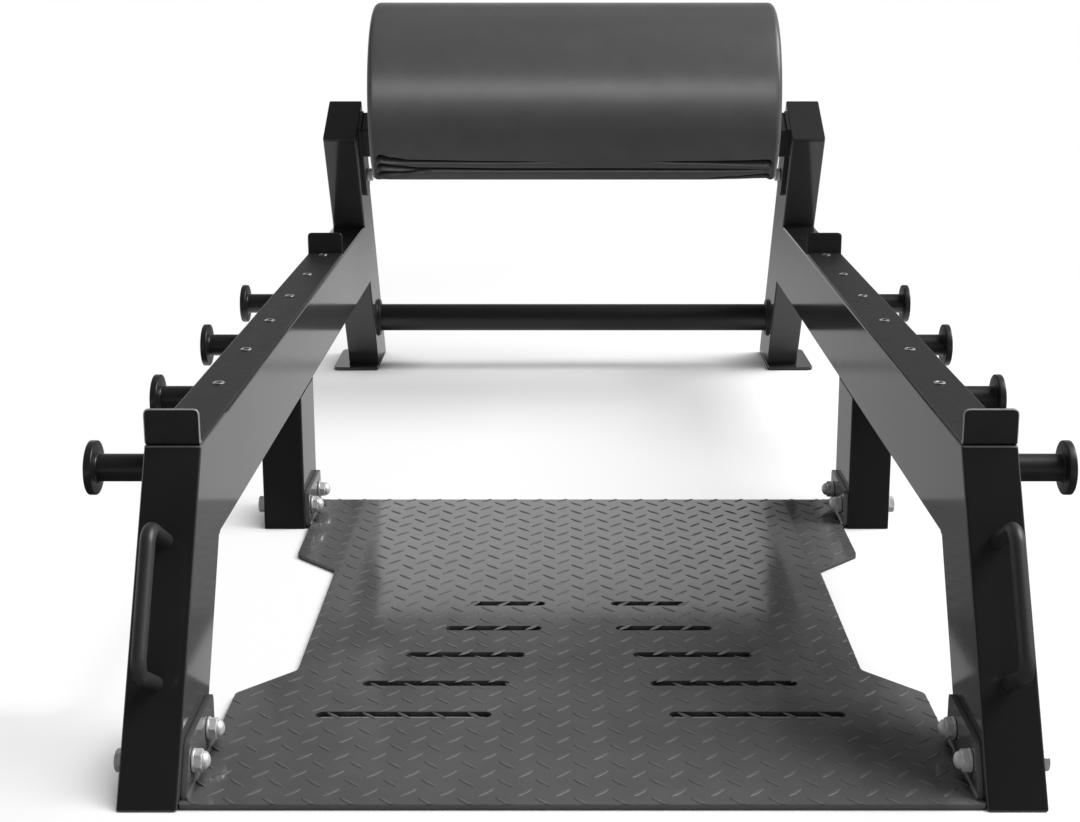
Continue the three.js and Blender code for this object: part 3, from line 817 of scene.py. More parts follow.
def socket_screw():
    """A low round head with a hexagon socket, standing on z = 0."""
    angles = round_angles(36)
    rings = [level_ring(angles, radius * MM, height * MM) for radius, height in SCREW_HEAD]
    for half_width, height in SCREW_SOCKET:
        rings.append(ring_points(angles, hexagon_reach(half_width * MM, angles), [height * MM] * len(angles)))
    return skin(rings)


class BENCH_OT_make_liner_screws(bpy.types.Operator):
    """Set six socket screws in each bar rail's liner"""

    bl_idname = "bench.make_liner_screws"
    bl_label = "Make liner screws"

    def execute(self, context):
        steel = bare_steel()
        for side, sign in SIDES:
            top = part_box(f"rail_liner_{side}")[0].z + LINER_THICKNESS
            parts = []
            for i, y in enumerate(SCREW_PLACES):
                points, faces = socket_screw()
                place = Matrix.Translation((sign * (TUBE_X + SCREW_ASIDE), along(y), top))
                place = place @ Matrix.Rotation(SCREW_SPIN * i, 4, "Z")
                parts.append(([place @ Vector(point) for point in points], faces))
            make_piece(f"liner_screws_{side}", parts, steel, sharp=35)
        return {"FINISHED"}


# Pegs and handles

PEG_RADIUS, DISC_RADIUS, DISC_THICKNESS = 13 * MM, 25.5 * MM, 7.5 * MM
PEG_ROOT = ((14.6 * MM, 0), (13.8 * MM, 1 * MM))
HANDLE = {"low": 103 * MM, "high": 223 * MM, "standoff": 62 * MM, "bend": 14 * MM}
HANDLE_ROD = 6.5 * MM


class BENCH_OT_make_band_pegs(bpy.types.Operator):
    """Turn the eight band pegs with their end discs and weld fillets"""

    bl_idname = "bench.make_band_pegs"
    bl_label = "Make band pegs"

    def execute(self, context):
        paint = bpy.data.materials["satin_frame_paint"]
        for side, sign in SIDES:
            for number in range(1, 5):
                node = f"band_peg_{side}_{number}"
                low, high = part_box(node)
                length = high.x - low.x
                disc = length - DISC_THICKNESS
                profile = softened([
                    (0, 0), *PEG_ROOT, (PEG_RADIUS, 2 * MM), (PEG_RADIUS, disc - 1.2 * MM),
                    (14.2 * MM, disc), (DISC_RADIUS, disc), (DISC_RADIUS, length), (0, length),
                ], 1.4 * MM, steps=4)
                root = low.x if sign > 0 else high.x
                place = Matrix.Translation((root, (low.y + high.y) / 2, (low.z + high.z) / 2)) @ facing(sign)
                parts = [turned(profile, 56)]
                make_piece(f"peg_{side}_{number}", parts, paint, place, 50, [node])
        return {"FINISHED"}


def handle_path(low, high, standoff, bend):
    """The rod's middle line in the leg's frame, from the lower foot to the upper foot."""
    foot_steps, bend_steps, grip_steps = 6, 10, 12
    straight = standoff - bend
    feet = [-straight * i / foot_steps for i in range(1, foot_steps)]
    turns = [math.pi / 2 * i / bend_steps for i in range(bend_steps + 1)]
    path = [(-GAP, low)]
    path += [(y, low) for y in feet]
    path += [(-straight - bend * math.sin(turn), low + bend - bend * math.cos(turn)) for turn in turns]
    grip = high - low - 2 * bend
    path += [(-standoff, low + bend + grip * i / grip_steps) for i in range(1, grip_steps)]
    path += [(-straight - bend * math.cos(turn), high - bend + bend * math.sin(turn)) for turn in turns]
    path += [(y, high) for y in reversed(feet)]
    path.append((-GAP, high))
    return [Vector((0, y, z)) for y, z in path]


class BENCH_OT_make_handles(bpy.types.Operator):
    """Bend the two grab handles for the front legs"""

    bl_idname = "bench.make_handles"
    bl_label = "Make handles"

    def execute(self, context):
        settings = context.scene.bench_frame
        # The handles' paint is 1.5 times paler than the frame's, as painted light.
        paint = frame_paint("painted_lighter_handles", shade(settings.paint, 1.5), settings.satin * 1.3)
        for side, sign in SIDES:
            parts = [rod_along(handle_path(**HANDLE), HANDLE_ROD, sides=24)]
            place, node = leg_place(sign), f"handle_{side}"
            make_piece(f"grab_handle_{side}", parts, paint, place, 60, [node])
        return {"FINISHED"}


# Bolts and nuts

# The shank's radius, the width across the flats, and the height of the head and of the nut's hexagon.
SHANK, ACROSS, HEAD, NUT = 5 * MM, 17 * MM, 6.4 * MM, 6.5 * MM

# The washer's outer and inner radius and its thickness.
WASHER, WASHER_HOLE, WASHER_THICKNESS = 10 * MM, 5.2 * MM, 2 * MM

# The pad's bolts: places in the uprights' own frame and the shanks' lengths.
END_PLATE_FACE, PAD_BOLT_UP, PAD_SHANK = 324.4 * MM, 400 * MM, 16 * MM
BOARD_BOLT_X, BOARD_BOLT_UP, BOARD_SHANK = 200 * MM, 451.7 * MM, 59 * MM

# How far each bolt and nut is turned on from the one before, in radians.
BOLT_SPIN, NUT_SPIN, NUT_SPIN_START = 0.37, 0.53, 0.2


def washer():
    """A washer that stands on z = 0."""
    top = WASHER_THICKNESS
    outline = softened([(WASHER_HOLE, 0), (WASHER, 0), (WASHER, top), (WASHER_HOLE, top)], 0.5 * MM)
    return turned(outline, 40, closed=True)


def hex_head(base, top, chamfer_low=False):
    """A hexagon on the z axis whose corners are turned down to a round face."""
    apothem = ACROSS / 2
    face = 0.96 * apothem
    angles = round_angles(36)
    reach = hexagon_reach(apothem, angles)
    drops = [(r - face) * math.tan(math.radians(30)) for r in reach]
    if chamfer_low:
        rings = [level_ring(angles, face, base), ring_points(angles, reach, [base + drop for drop in drops])]
    else:
        rings = [ring_points(angles, reach, [base] * len(angles))]
    rings.append(ring_points(angles, reach, [top - drop for drop in drops]))
    rings.append(level_ring(angles, face, top))
    return skin(rings)


def bolt_parts(shank):
    """A hexagon bolt and washer that stand on z = 0, with the shank going down."""
    shank_top = WASHER_THICKNESS + 1 * MM
    thread_end = softened([(0, -shank), (SHANK, -shank), (SHANK, shank_top), (0, shank_top)], 0.8 * MM)
    return [turned(thread_end, 28), washer(), hex_head(WASHER_THICKNESS, WASHER_THICKNESS + HEAD)]


def dome_nut_parts():
    """A dome nut and washer that stand on z = 0."""
    top = WASHER_THICKNESS + NUT
    radius = ACROSS / 2 - 0.8 * MM
    steps = 11
    dome = [(0, top - 2 * MM), (radius, top - 2 * MM), (radius, top + 0.2 * MM)]
    for i in range(1, steps):
        angle = math.pi / 2 * i / steps
        dome.append((max(radius * math.cos(angle), 0), top + 0.2 * MM + 5.8 * MM * math.sin(angle)))
    dome.append((0, top + 6 * MM))
    return [washer(), hex_head(WASHER_THICKNESS, top, chamfer_low=True), turned(dome, 36)]


def facing(sign):
    """Turns a part that stands on z = 0 to point along x."""
    return Matrix.Rotation(sign * math.pi / 2, 4, "Y")


def fasten_ear(leg, side, sign, number, count, zinc):
    """One bolt through a leg and an ear of the tread plate, with its dome nut on the inner side."""
    node, nut = f"{leg}_ear_bolt_{side}_{number}", f"{leg}_ear_nut_{side}_{number}"
    low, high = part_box(node)
    y, z = (low.y + high.y) / 2, (low.z + high.z) / 2
    washer_face = sign * (TUBE_X + TUBE_HALF_WIDTH + GAP)
    shank = abs(washer_face) - min(abs(low.x), abs(high.x))
    spin = Matrix.Rotation(BOLT_SPIN * count, 4, "Z")
    place = Matrix.Translation((washer_face, y, z)) @ facing(sign) @ spin
    make_piece(f"bolt_{leg}_{side}_{number}", bolt_parts(shank), zinc, place, 35, [node])
    low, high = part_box(nut)
    ear_face = low.x if sign < 0 else high.x
    spin = Matrix.Rotation(NUT_SPIN * count + NUT_SPIN_START, 4, "Z")
    place = Matrix.Translation((ear_face, y, z)) @ facing(-sign) @ spin
    make_piece(f"dome_nut_{leg}_{side}_{number}", dome_nut_parts(), zinc, place, 35, [nut])


class BENCH_OT_make_fasteners(bpy.types.Operator):
    """Make the plated bolts, washers and dome nuts of the ears and the pad"""

    bl_idname = "bench.make_fasteners"
    bl_label = "Make bolts and nuts"

    def execute(self, context):
        zinc = zinc_plate(context.scene.bench_fasteners)
        stand = upright_place()
        count = 0
        for side, sign in SIDES:
            for leg in ("front", "mid"):
                for number in (1, 2):
                    fasten_ear(leg, side, sign, number, count, zinc)
                    count += 1
            pad = stand @ Matrix.Translation((sign * END_PLATE_FACE, 0, PAD_BOLT_UP)) @ facing(-sign)
            board = stand @ Matrix.Translation((sign * BOARD_BOLT_X, 0, BOARD_BOLT_UP))
            board = board @ Matrix.Rotation(math.pi, 4, "X")
            for kind, shank, place in (("pad", PAD_SHANK, pad), ("board", BOARD_SHANK, board)):
                node = f"{kind}_bolt_{side}"
                make_piece(f"bolt_{kind}_{side}", bolt_parts(shank), zinc, place, 35, [node])
        return {"FINISHED"}


# Tread plate

# The right half of the plate's outline: (x, y behind the front legs' front edge) in millimetres.
PLATE_RIGHT = [(323.5, 4), (323.5, 217), (273, 269.5), (273, 543.5), (323.5, 594), (323.5, 795)]
PLATE_OUTLINE = PLATE_RIGHT + [(-x, y) for x, y in reversed(PLATE_RIGHT)]
PLATE_THICKNESS, PLATE_EDGE = 5 * MM, 0.5 * MM

# How far the rows of bars are laid out to each side of the middle and to the rear, before those off
# the plate are left out.
ROWS_ASIDE, ROWS_BACK = 0.66, 0.8

# How far past a corner an edge of the outline still cuts a bar.
PAST_CORNER = 12 * MM


def tread_bar(length, width, height):
    """One raised bar along x: a pointed oval mound standing on z = 0, slightly sunk in."""
    sides = 9
    low, middle, top = [], [], []
    for k in range(2 * sides):
        t = (k % sides) / sides
        end = 1 if k < sides else -1
        x = end * (1 - 2 * t) * length / 2
        reach = end * width / 2 * (1 - (2 * t - 1) ** 2) ** 0.7
        low.append((x, reach, -0.25 * MM))
        middle.append((x * 0.93, reach * 0.72, 0.62 * height))
        top.append((x * 0.78, reach * 0.32, height))
    return [np.array(ring) for ring in (low, middle, top)]


def clipped(points, faces, planes):
    """The closed mesh with everything outside the planes cut off and the cuts closed."""
    bm = bmesh.new()
    made = [bm.verts.new(point) for point in points]
    for face in faces:
        bm.faces.new([made[i] for i in face])
    bmesh.ops.remove_doubles(bm, verts=bm.verts, dist=SAME_PLACE)
    for point, outward in planes:
        geom = bm.verts[:] + bm.edges[:] + bm.faces[:]
        cut = bmesh.ops.bisect_plane(bm, geom=geom, plane_co=point, plane_no=outward, clear_outer=True)
        edges = [item for item in cut["geom_cut"] if isinstance(item, bmesh.types.BMEdge)]
        if edges:
            bmesh.ops.edgeloop_fill(bm, edges=edges)
    bm.verts.index_update()
    result = [tuple(vert.co) for vert in bm.verts], [tuple(v.index for v in face.verts) for face in bm.faces]
    bm.free()
    return result


def contains(outline, x, y):
    """Whether the place is inside the closed outline."""
    inside = False
    for a, b in zip(outline, outline[1:] + outline[:1]):
        if (a.y > y) != (b.y > y) and x < (b.x - a.x) * (y - a.y) / (b.y - a.y) + a.x:
            inside = not inside
    return inside


def distance_to(outline, x, y):
    """How far the place is from the nearest edge of the closed outline."""
    point = Vector((x, y))
    distances = []
    for a, b in zip(outline, outline[1:] + outline[:1]):
        run = b - a
        t = max(0, min(1, (point - a).dot(run) / run.length_squared))
        distances.append((point - a - run * t).length)
    return min(distances)


def bar_places(pitch):
    """The place and lean of each bar, row by row: every other row leans the other way, half a pitch aside."""
    columns = int(ROWS_ASIDE / pitch) + 2
    rows = int(ROWS_BACK / pitch) + 2
    for row in range(2 * rows):
        for column in range(-columns, columns + 1):
            x = (column + 0.5 * (row % 2)) * pitch
            y = along(0) + 0.25 * pitch + 0.5 * row * pitch
            yield x, y, 1 if row % 2 else -1


def cutting_planes(outline, x, y, reach):
    """The edges of the outline within reach of a place, each as (point, outward direction)."""
    planes = []
    for corner, after in zip(outline, outline[1:] + outline[:1]):
        run = (after - corner).normalized()
        outward = Vector((run.y, -run.x))
        offset = Vector((x, y)) - corner
        travel = offset.dot(run)
        if abs(offset.dot(outward)) < reach and -PAST_CORNER < travel < (after - corner).length + PAST_CORNER:
            planes.append(((*corner, 0), (*outward, 0)))
    return planes


def bars_on(outline, settings):
    """The raised bars on the plate, those at its edge cut off flush with it."""
    rings = tread_bar(settings.length, settings.width, settings.height)
    template = np.vstack(rings)
    _, faces = skin([list(ring) for ring in rings])
    bars = []
    for x, y, lean in bar_places(settings.pitch):
        inside = contains(outline, x, y)
        planes = cutting_planes(outline, x, y, settings.length / 2)
        if not inside and (not planes or distance_to(outline, x, y) > settings.length * 0.3):
            continue
        turn = lean * math.pi / 4
        cos, sin = math.cos(turn), math.sin(turn)
        spin = np.array([[cos, sin, 0], [-sin, cos, 0], [0, 0, 1]])
        points = template @ spin + np.array([x, y, PLATE_THICKNESS])
        bar = (points, faces)
        if planes:
            bar = clipped([tuple(point) for point in points], faces, planes)
        if len(bar[0]) >= 8:
            bars.append(bar)
    return bars


class BENCH_OT_make_tread(bpy.types.Operator):
    """Paint the tread plate and raise its checker bars"""

    bl_idname = "bench.make_tread"
    bl_label = "Make tread"

    def execute(self, context):
        settings = context.scene.bench_tread
        paint = tread_paint("tread_plate_paint", settings, 0.09)
        worn = tread_paint("tread_bar_paint", settings, 0.45, 0.3)
        dress_node("tread_plate", paint, bpy.data.node_groups["join_and_smooth"], PLATE_EDGE)
        outline = [Vector((x * MM, along(y))) for x, y in PLATE_OUTLINE]
        make_piece("tread_bars", bars_on(outline, settings), worn, sharp=60)
        return {"FINISHED"}


# Pad

PAD_RADIUS, PAD_HALF, PAD_BASE = 144.5 * MM, 301 * MM, 57.5 * MM
PAD_CORNER, PAD_EDGE, PAD_DOME = 8 * MM, 9 * MM, 4 * MM
PAD_SEAM = PAD_HALF - 13 * MM
PAD_PLACE = (0, 6.3 * MM, UPRIGHT_LENGTH + 35.3 * MM)

# The stitched seam near each end: half the groove's width and its depth.
SEAM_WIDTH, SEAM_DEPTH = 1.3 * MM, 0.9 * MM

# The domed ends: (share of the dome's height, share drawn in towards the axis).
DOME = ((1, 0.97), (0.96, 0.75), (0.8, 0.5), (0.5, 0.27))

# Steps along each stretch of the pad's skin, for the cover and for the simulated blank.
COVER_STEPS = {"base": 14, "bend": 8, "roll": 70, "front": 90, "length": 110}
BLANK_STEPS = {"base": 6, "bend": 4, "roll": 40, "front": 10, "length": 40}

# Simulation of the blank: its grid, how far the held base and rims reach, and its length in frames.
GRID, HELD_BASE, HELD_RIM, FRAMES = 6 * MM, 6 * MM, 3 * MM, 20

# The room in the pad's base: the core board's half sizes, thickness and underside, and for the beam the
# room's half length, half width, lower end and how far it goes into the board's.
BOARD_HALF_LENGTH, BOARD_HALF_WIDTH, BOARD_THICKNESS = 280 * MM, 100 * MM, 12 * MM
BOARD_LOW = 502 * MM + GAP
BEAM_HALF_LENGTH, BEAM_HALF_WIDTH, BEAM_LOW, BEAM_PAST = 400 * MM, 26 * MM, 400 * MM, 6 * MM


def pad_profile(radius, base, steps):
    """The roll's outline, (across, up), from the rear base corner over the top to the front base corner."""
    reach = radius - PAD_CORNER
    dip = math.asin((base - PAD_CORNER) / reach)
    corner_y, corner_z = reach * math.cos(dip), -reach * math.sin(dip)
    points = [(-corner_y + 2 * corner_y * i / steps["base"], -base) for i in range(steps["base"])]

    def arc(y, z, r, start, end, count):
        for i in range(count):
            angle = start + (end - start) * i / count
            points.append((y + r * math.cos(angle), z + r * math.sin(angle)))

    arc(corner_y, corner_z, PAD_CORNER, -math.pi / 2, -dip, steps["bend"])
    arc(0, 0, radius, -dip, math.pi, steps["roll"])
    arc(0, 0, radius, math.pi, math.pi + dip, steps["front"])
    arc(-corner_y, corner_z, PAD_CORNER, math.pi + dip, 1.5 * math.pi, steps["bend"])
    return points


def pad_stations(half, steps):
    """Places along the roll, each (x, inset), from the right end to the left end."""
    right = [(half + PAD_DOME * share, inset) for share, inset in DOME]
    for i in range(steps["bend"] + 1):
        angle = math.pi / 2 * i / steps["bend"]
        right.append((half - PAD_EDGE * (1 - math.cos(angle)), PAD_EDGE * (1 - math.sin(angle)) / PAD_RADIUS))
    flat = half - PAD_EDGE
    middle = [(flat - 2 * flat * i / steps["length"], 0) for i in range(1, steps["length"])]
    left = [(-x, inset) for x, inset in reversed(right)]
    return right + middle + left


def pad_skin(slack, steps):
    """Points and faces of the roll, drawn in all round by the slack."""
    profile = pad_profile(PAD_RADIUS - slack, PAD_BASE - slack * 0.2, steps)
    rings = []
    for x, inset in pad_stations(PAD_HALF - slack, steps):
        rings.append([(x, y * (1 - inset), z * (1 - inset)) for y, z in profile])
    return skin(rings)


def even_blank(slack):
    """The slack cover as an object with even faces, ready for the simulation."""
    points, faces = pad_skin(slack, BLANK_STEPS)
    mesh = bpy.data.meshes.new("pad_blank")
    mesh.from_pydata([tuple(p) for p in points], [], faces)
    tidy_mesh(mesh, 180)
    blank = bpy.data.objects.new("pad_blank", mesh)
    bpy.context.scene.collection.objects.link(blank)
    remesh = blank.modifiers.new("even", "REMESH")
    remesh.mode = "VOXEL"
    remesh.voxel_size = GRID
    graph = bpy.context.evaluated_depsgraph_get()
    even = bpy.data.meshes.new_from_object(blank.evaluated_get(graph))
    blank.modifiers.clear()
    blank.data = even
    return blank


def swell(settings):
    """Swells the slack cover by cloth simulation: start points and how far each moved."""
    blank = even_blank(settings.slack)
    start = np.array([vert.co for vert in blank.data.vertices])
    held = blank.vertex_groups.new(name="held")
    fixed = (start[:, 2] < -PAD_BASE + HELD_BASE) | (np.abs(start[:, 0]) > PAD_SEAM - HELD_RIM)
    held.add(np.flatnonzero(fixed).tolist(), 1.0, "REPLACE")
    cloth = blank.modifiers.new("filling", "CLOTH")
    cloth.settings.quality = 5
    cloth.settings.mass = 0.3
    cloth.settings.tension_stiffness = 15
    cloth.settings.compression_stiffness = 15
    cloth.settings.shear_stiffness = 5
    cloth.settings.bending_stiffness = 0.5
    cloth.settings.use_pressure = True
    cloth.settings.uniform_pressure_force = settings.pressure
    cloth.settings.effector_weights.gravity = 0
    cloth.settings.vertex_group_mass = "held"
    scene = bpy.context.scene
    for number in range(1, FRAMES + 1):
        scene.frame_set(number)
    graph = bpy.context.evaluated_depsgraph_get()
    swollen = blank.evaluated_get(graph).to_mesh()
    end = np.array([vert.co for vert in swollen.vertices])
    blank.evaluated_get(graph).to_mesh_clear()
    scene.frame_set(1)
    bpy.data.objects.remove(blank)
    move = end - start
    length = np.linalg.norm(move, axis=1, keepdims=True)
    cap = settings.slack * 1.25
    move *= np.minimum(1, cap / np.maximum(length, 1e-9))
    return start, move


def swollen_cover(points, settings):
    start, move = swell(settings)
    tree = KDTree(len(start))
    for i, co in enumerate(start):
        tree.insert(co, i)
    tree.balance()
    moved = points.copy()
    for i, co in enumerate(points):
        near = tree.find_n(co, 8)
        weights = np.array([1 / (distance + 2 * MM) for _, _, distance in near])
        moved[i] += (move[[index for _, index, _ in near]] * weights[:, None]).sum(0) / weights.sum()
    return moved


def smooth_step(low, high, value):
    t = min(1, max(0, (value - low) / (high - low)))
    return t * t * (3 - 2 * t)


# Folds on the lower front: (x, height, half width, depth share) in millimetres, joined in between.
FOLDS = (
    (
        (-288, -10, 6.0, 1.15), (-268, -12.5, 3.6, 1.0), (-240, -14, 2.0, 0.7), (-120, -15.5, 1.5, 0.4),
        (0, -16, 1.3, 0.1),
    ),
    ((100, -15.5, 1.3, 0.1), (180, -16, 1.8, 0.55), (240, -17.5, 3.0, 0.95), (288, -19.5, 5.4, 1.15)),
    (
        (-288, -26.5, 4.8, 1.15), (-262, -29, 4.0, 1.05), (-225, -32, 3.2, 0.95), (-100, -33.5, 3.0, 0.85),
        (60, -33.5, 3.0, 0.85), (200, -33.5, 2.8, 0.8), (250, -33.5, 2.6, 0.6), (288, -33, 2.0, 0.2),
    ),
    ((-288, -44.5, 5.4, 1.15), (-262, -42.5, 4.0, 1.0), (-225, -37, 2.6, 0.6), (-200, -34, 1.5, 0.0)),
    ((190, -52.5, 1.4, 0.1), (230, -51.5, 2.6, 0.8), (288, -49, 5.0, 1.15)),
)


def fold_depth(x, height):
    """How deep the folds are at a place on the pad's front, as a share of the crease depth."""
    total = 0
    for fold in FOLDS:
        if not fold[0][0] <= x <= fold[-1][0]:
            continue
        for before, after in zip(fold, fold[1:]):
            if before[0] <= x <= after[0]:
                t = smooth_step(before[0], after[0], x)
                middle, width, depth = (before[k] + (after[k] - before[k]) * t for k in (1, 2, 3))
                total = max(total, depth * math.exp(-(abs((height - middle) / width) ** 1.5)))
                break
    return total


def to_axis(y, z):
    """The direction from a place on the pad to its axis."""
    return np.array(-Vector((0, y, z)).normalized())


def press_folds(moved, points, crease):
    """Presses the folds into the cover's front, as far as the seams."""
    for i, (x, y, z) in enumerate(moved):
        if points[i][1] >= 0:
            continue
        share = fold_depth(x / MM, z / MM)
        share *= 1 - smooth_step(PAD_SEAM - 1.5 * MM, PAD_SEAM + 0.5 * MM, abs(x))
        if share > 0:
            moved[i] += to_axis(y, z) * crease * share


def press_seams(moved):
    """Presses the seam's groove in round each end of the cover."""
    for i, (x, y, z) in enumerate(moved):
        groove = math.exp(-(((abs(x) - PAD_SEAM) / SEAM_WIDTH) ** 2))
        if groove > 0.02 and math.hypot(y, z) > 0.05:
            moved[i] += to_axis(y, z) * SEAM_DEPTH * groove


class BENCH_OT_make_pad(bpy.types.Operator):
    """Upholster the roll pad: swell the cover, then press in its folds and seams"""

    bl_idname = "bench.make_pad"
    bl_label = "Make pad"

    def execute(self, context):
        settings = context.scene.bench_pad
        vinyl = pad_vinyl(settings)
        points, faces = pad_skin(settings.slack, COVER_STEPS)
        points = np.array(points)
        moved = swollen_cover(points, settings)
        press_folds(moved, points, settings.crease)
        press_seams(moved)
        place = upright_place() @ Matrix.Translation(PAD_PLACE)
        pad = make_piece("roll_pad", [(moved, faces)], vinyl, place, 180, ["pad_cushion"])
        open_base(pad)
        return {"FINISHED"}


def open_base(pad):
    """Cuts the room for the core board and the beam into the pad's base."""
    stand = upright_place()
    board = (BOARD_HALF_LENGTH + GAP, BOARD_HALF_WIDTH + GAP)
    rooms = (
        (board, BOARD_LOW - GAP, BOARD_LOW + BOARD_THICKNESS + GAP),
        ((BEAM_HALF_LENGTH, BEAM_HALF_WIDTH), BEAM_LOW, BOARD_LOW + BEAM_PAST),
    )
    for (half_x, half_y), low, high in rooms:
        mesh = bpy.data.meshes.new("room")
        corners = [(x, y, z) for x in (-half_x, half_x) for y in (-half_y, half_y) for z in (low, high)]
        quads = [(0, 1, 3, 2), (4, 6, 7, 5), (0, 4, 5, 1), (2, 3, 7, 6), (0, 2, 6, 4), (1, 5, 7, 3)]
        mesh.from_pydata(corners, [], quads)
        mesh.transform(stand)
        room = bpy.data.objects.new("room", mesh)
        bpy.context.scene.collection.objects.link(room)
        cut = pad.modifiers.new("room", "BOOLEAN")
        cut.object = room
        cut.solver = "EXACT"
        graph = bpy.context.evaluated_depsgraph_get()
        hollowed = bpy.data.meshes.new_from_object(pad.evaluated_get(graph))
        pad.modifiers.clear()
        pad.data = hollowed
        bpy.data.objects.remove(room)
    pad.data.shade_smooth()
    pad.data.set_sharp_from_angle(angle=SHARP_EDGE)


# Stage

WHITE = (1, 1, 1, 1)
FLOOR_SIZE = 60
FLOOR_DROP = 0.5 * MM

# What the gloss paint mirrors of the room, as (position, level). The first goes by the sine of the height
# above the horizon. The others go from left to right, with 0.5 straight ahead, low down and higher up.
ROOM_BY_HEIGHT = (
    (0, 1), (0.35, 1), (0.40, 0.3), (0.46, 0.1), (0.66, 0.1), (0.70, 0.45), (0.82, 0.45), (0.88, 0.08),
)
LOW_SIDES = ((0.30, 0.9), (0.38, 0.9), (0.40, 1), (0.61, 1), (0.64, 0.3))
HIGH_SIDES = (
    (0.32, 0.9), (0.35, 0.4), (0.375, 0.4), (0.39, 1), (0.61, 1), (0.625, 0.4), (0.65, 0.4), (0.68, 1),
)

# Each lamp's place, the point that it faces and its width and height, in metres.
SIDE_LAMP = {"place": (4.2, -0.3, 4.4), "aim": (0, 0, 0.1), "size": (3.2, 3.2)}
PAD_STRIP = {"place": (0.0, -5.0, 1.95), "aim": (0, 0.5, 0.5), "size": (4.0, 0.9)}
PAD_FILL = {"place": (0.0, -4.4, 3.4), "aim": (0, 0.5, 0.5), "size": (4.0, 2.2)}

CAMERA_PLACE = (-0.01454, -2.06981, 0.67798)
CAMERA_TILT = math.radians(77.6165)
CAMERA_LENS, SENSOR_WIDTH = 55.97, 36
CAMERA_SHIFT = (-0.0227, -0.0771)


def floor_levels(wiring, glow):
    """The floor's painted glow seen by the camera and its painted reflection in the gloss, both set by place
    and less in nooks as painted shade.
    """
    def ramp(source, places, levels):
        return wiring.spread(source, *levels, *places, smooth=True)

    def times(first, second):
        return wiring.combine("MULTIPLY", first, second)

    def larger(first, second):
        return wiring.combine("MAXIMUM", first, second)

    place = wiring.nodes.new("ShaderNodeTexCoord").outputs["Object"]
    split = wiring.split(place)
    x, y, aside = split["X"], split["Y"], wiring.combine("ABSOLUTE", split["X"])
    reach = wiring.nodes.new("ShaderNodeVectorMath")
    reach.operation = "LENGTH"
    wiring.link(place, reach.inputs[0])
    # Painted shade: the glow and the mirrored level fall off in nooks.
    open_share = ramp(wiring.open_air(90 * MM), (0.45, 0.95), (0, 1))

    # Seen by the camera: a painted glow that paints out shadow, whiter in front and far out, and beside the
    # left legs.
    seen = ramp(y, (0.1, 0.5), (glow, glow * 0.62))
    seen = larger(seen, ramp(reach.outputs["Value"], (1.05, 1.9), (0, 1)))
    seen = larger(seen, times(ramp(x, (-0.50, -0.37), (1, 0)), ramp(y, (-0.75, -0.6), (0, 1))))

    # Mirrored: a painted reflection of the floor, dim between the rails and under the plate, and fading far
    # behind.
    across = larger(ramp(x, (-0.03, 0.03), (0.56, 0.41)), ramp(aside, (0.315, 0.335), (0, 1)))
    near = larger(ramp(y, (-0.10, -0.03), (0.03, 1)), ramp(aside, (0.8, 1.1), (0, 0.9)))
    near = larger(near, ramp(y, (-1.3, -1.0), (0.25, 0)))
    near = larger(near, times(ramp(aside, (0.315, 0.335), (1, 0)), ramp(y, (-0.84, -0.8), (0, 1))))
    mirrored = times(times(across, near), ramp(y, (1.2, 2.8), (1, 0.55)))
    return times(seen, open_share), times(mirrored, open_share)


def make_floor(settings):
    """The white floor, lit by the lamps and partly glowing, with the bench's shadow on it; its glow and what
    the gloss mirrors of it are painted by place, with painted shade in nooks.
    """
    mesh = bpy.data.meshes.new("studio_floor")
    size = FLOOR_SIZE
    corners = [(-size, -size, 0), (size, -size, 0), (size, size, 0), (-size, size, 0)]
    mesh.from_pydata(corners, [], [(0, 1, 2, 3)])
    floor = bpy.data.objects.new("studio_floor", mesh)
    floor.location.z = -FLOOR_DROP
    bpy.context.scene.collection.objects.link(floor)
    material = bpy.data.materials.new("studio_floor")
    material.use_nodes = True
    wiring = Wiring(material.node_tree)
    wiring.nodes.clear()
    output = wiring.add("ShaderNodeOutputMaterial")
    matt = wiring.add("ShaderNodeBsdfDiffuse", Color=(0.9, 0.9, 0.9, 1))
    glow = wiring.add("ShaderNodeEmission", Color=WHITE, Strength=1)
    # Seen only by the gloss: a painted reflection of the floor.
    painted_reflection = wiring.add("ShaderNodeEmission", Color=WHITE)
    seen, mirrored = floor_levels(wiring, settings.floor)
    wiring.link(mirrored, painted_reflection.inputs["Strength"])
    path = wiring.add("ShaderNodeLightPath").outputs
    direct = wiring.combine("MAXIMUM", path["Is Camera Ray"], path["Is Transmission Ray"])
    lit = wiring.blend(wiring.combine("MULTIPLY", seen, direct), matt.outputs[0], glow.outputs[0])
    wiring.link(wiring.blend(path["Is Glossy Ray"], lit, painted_reflection.outputs[0]), output.inputs["Surface"])
    mesh.materials.append(material)


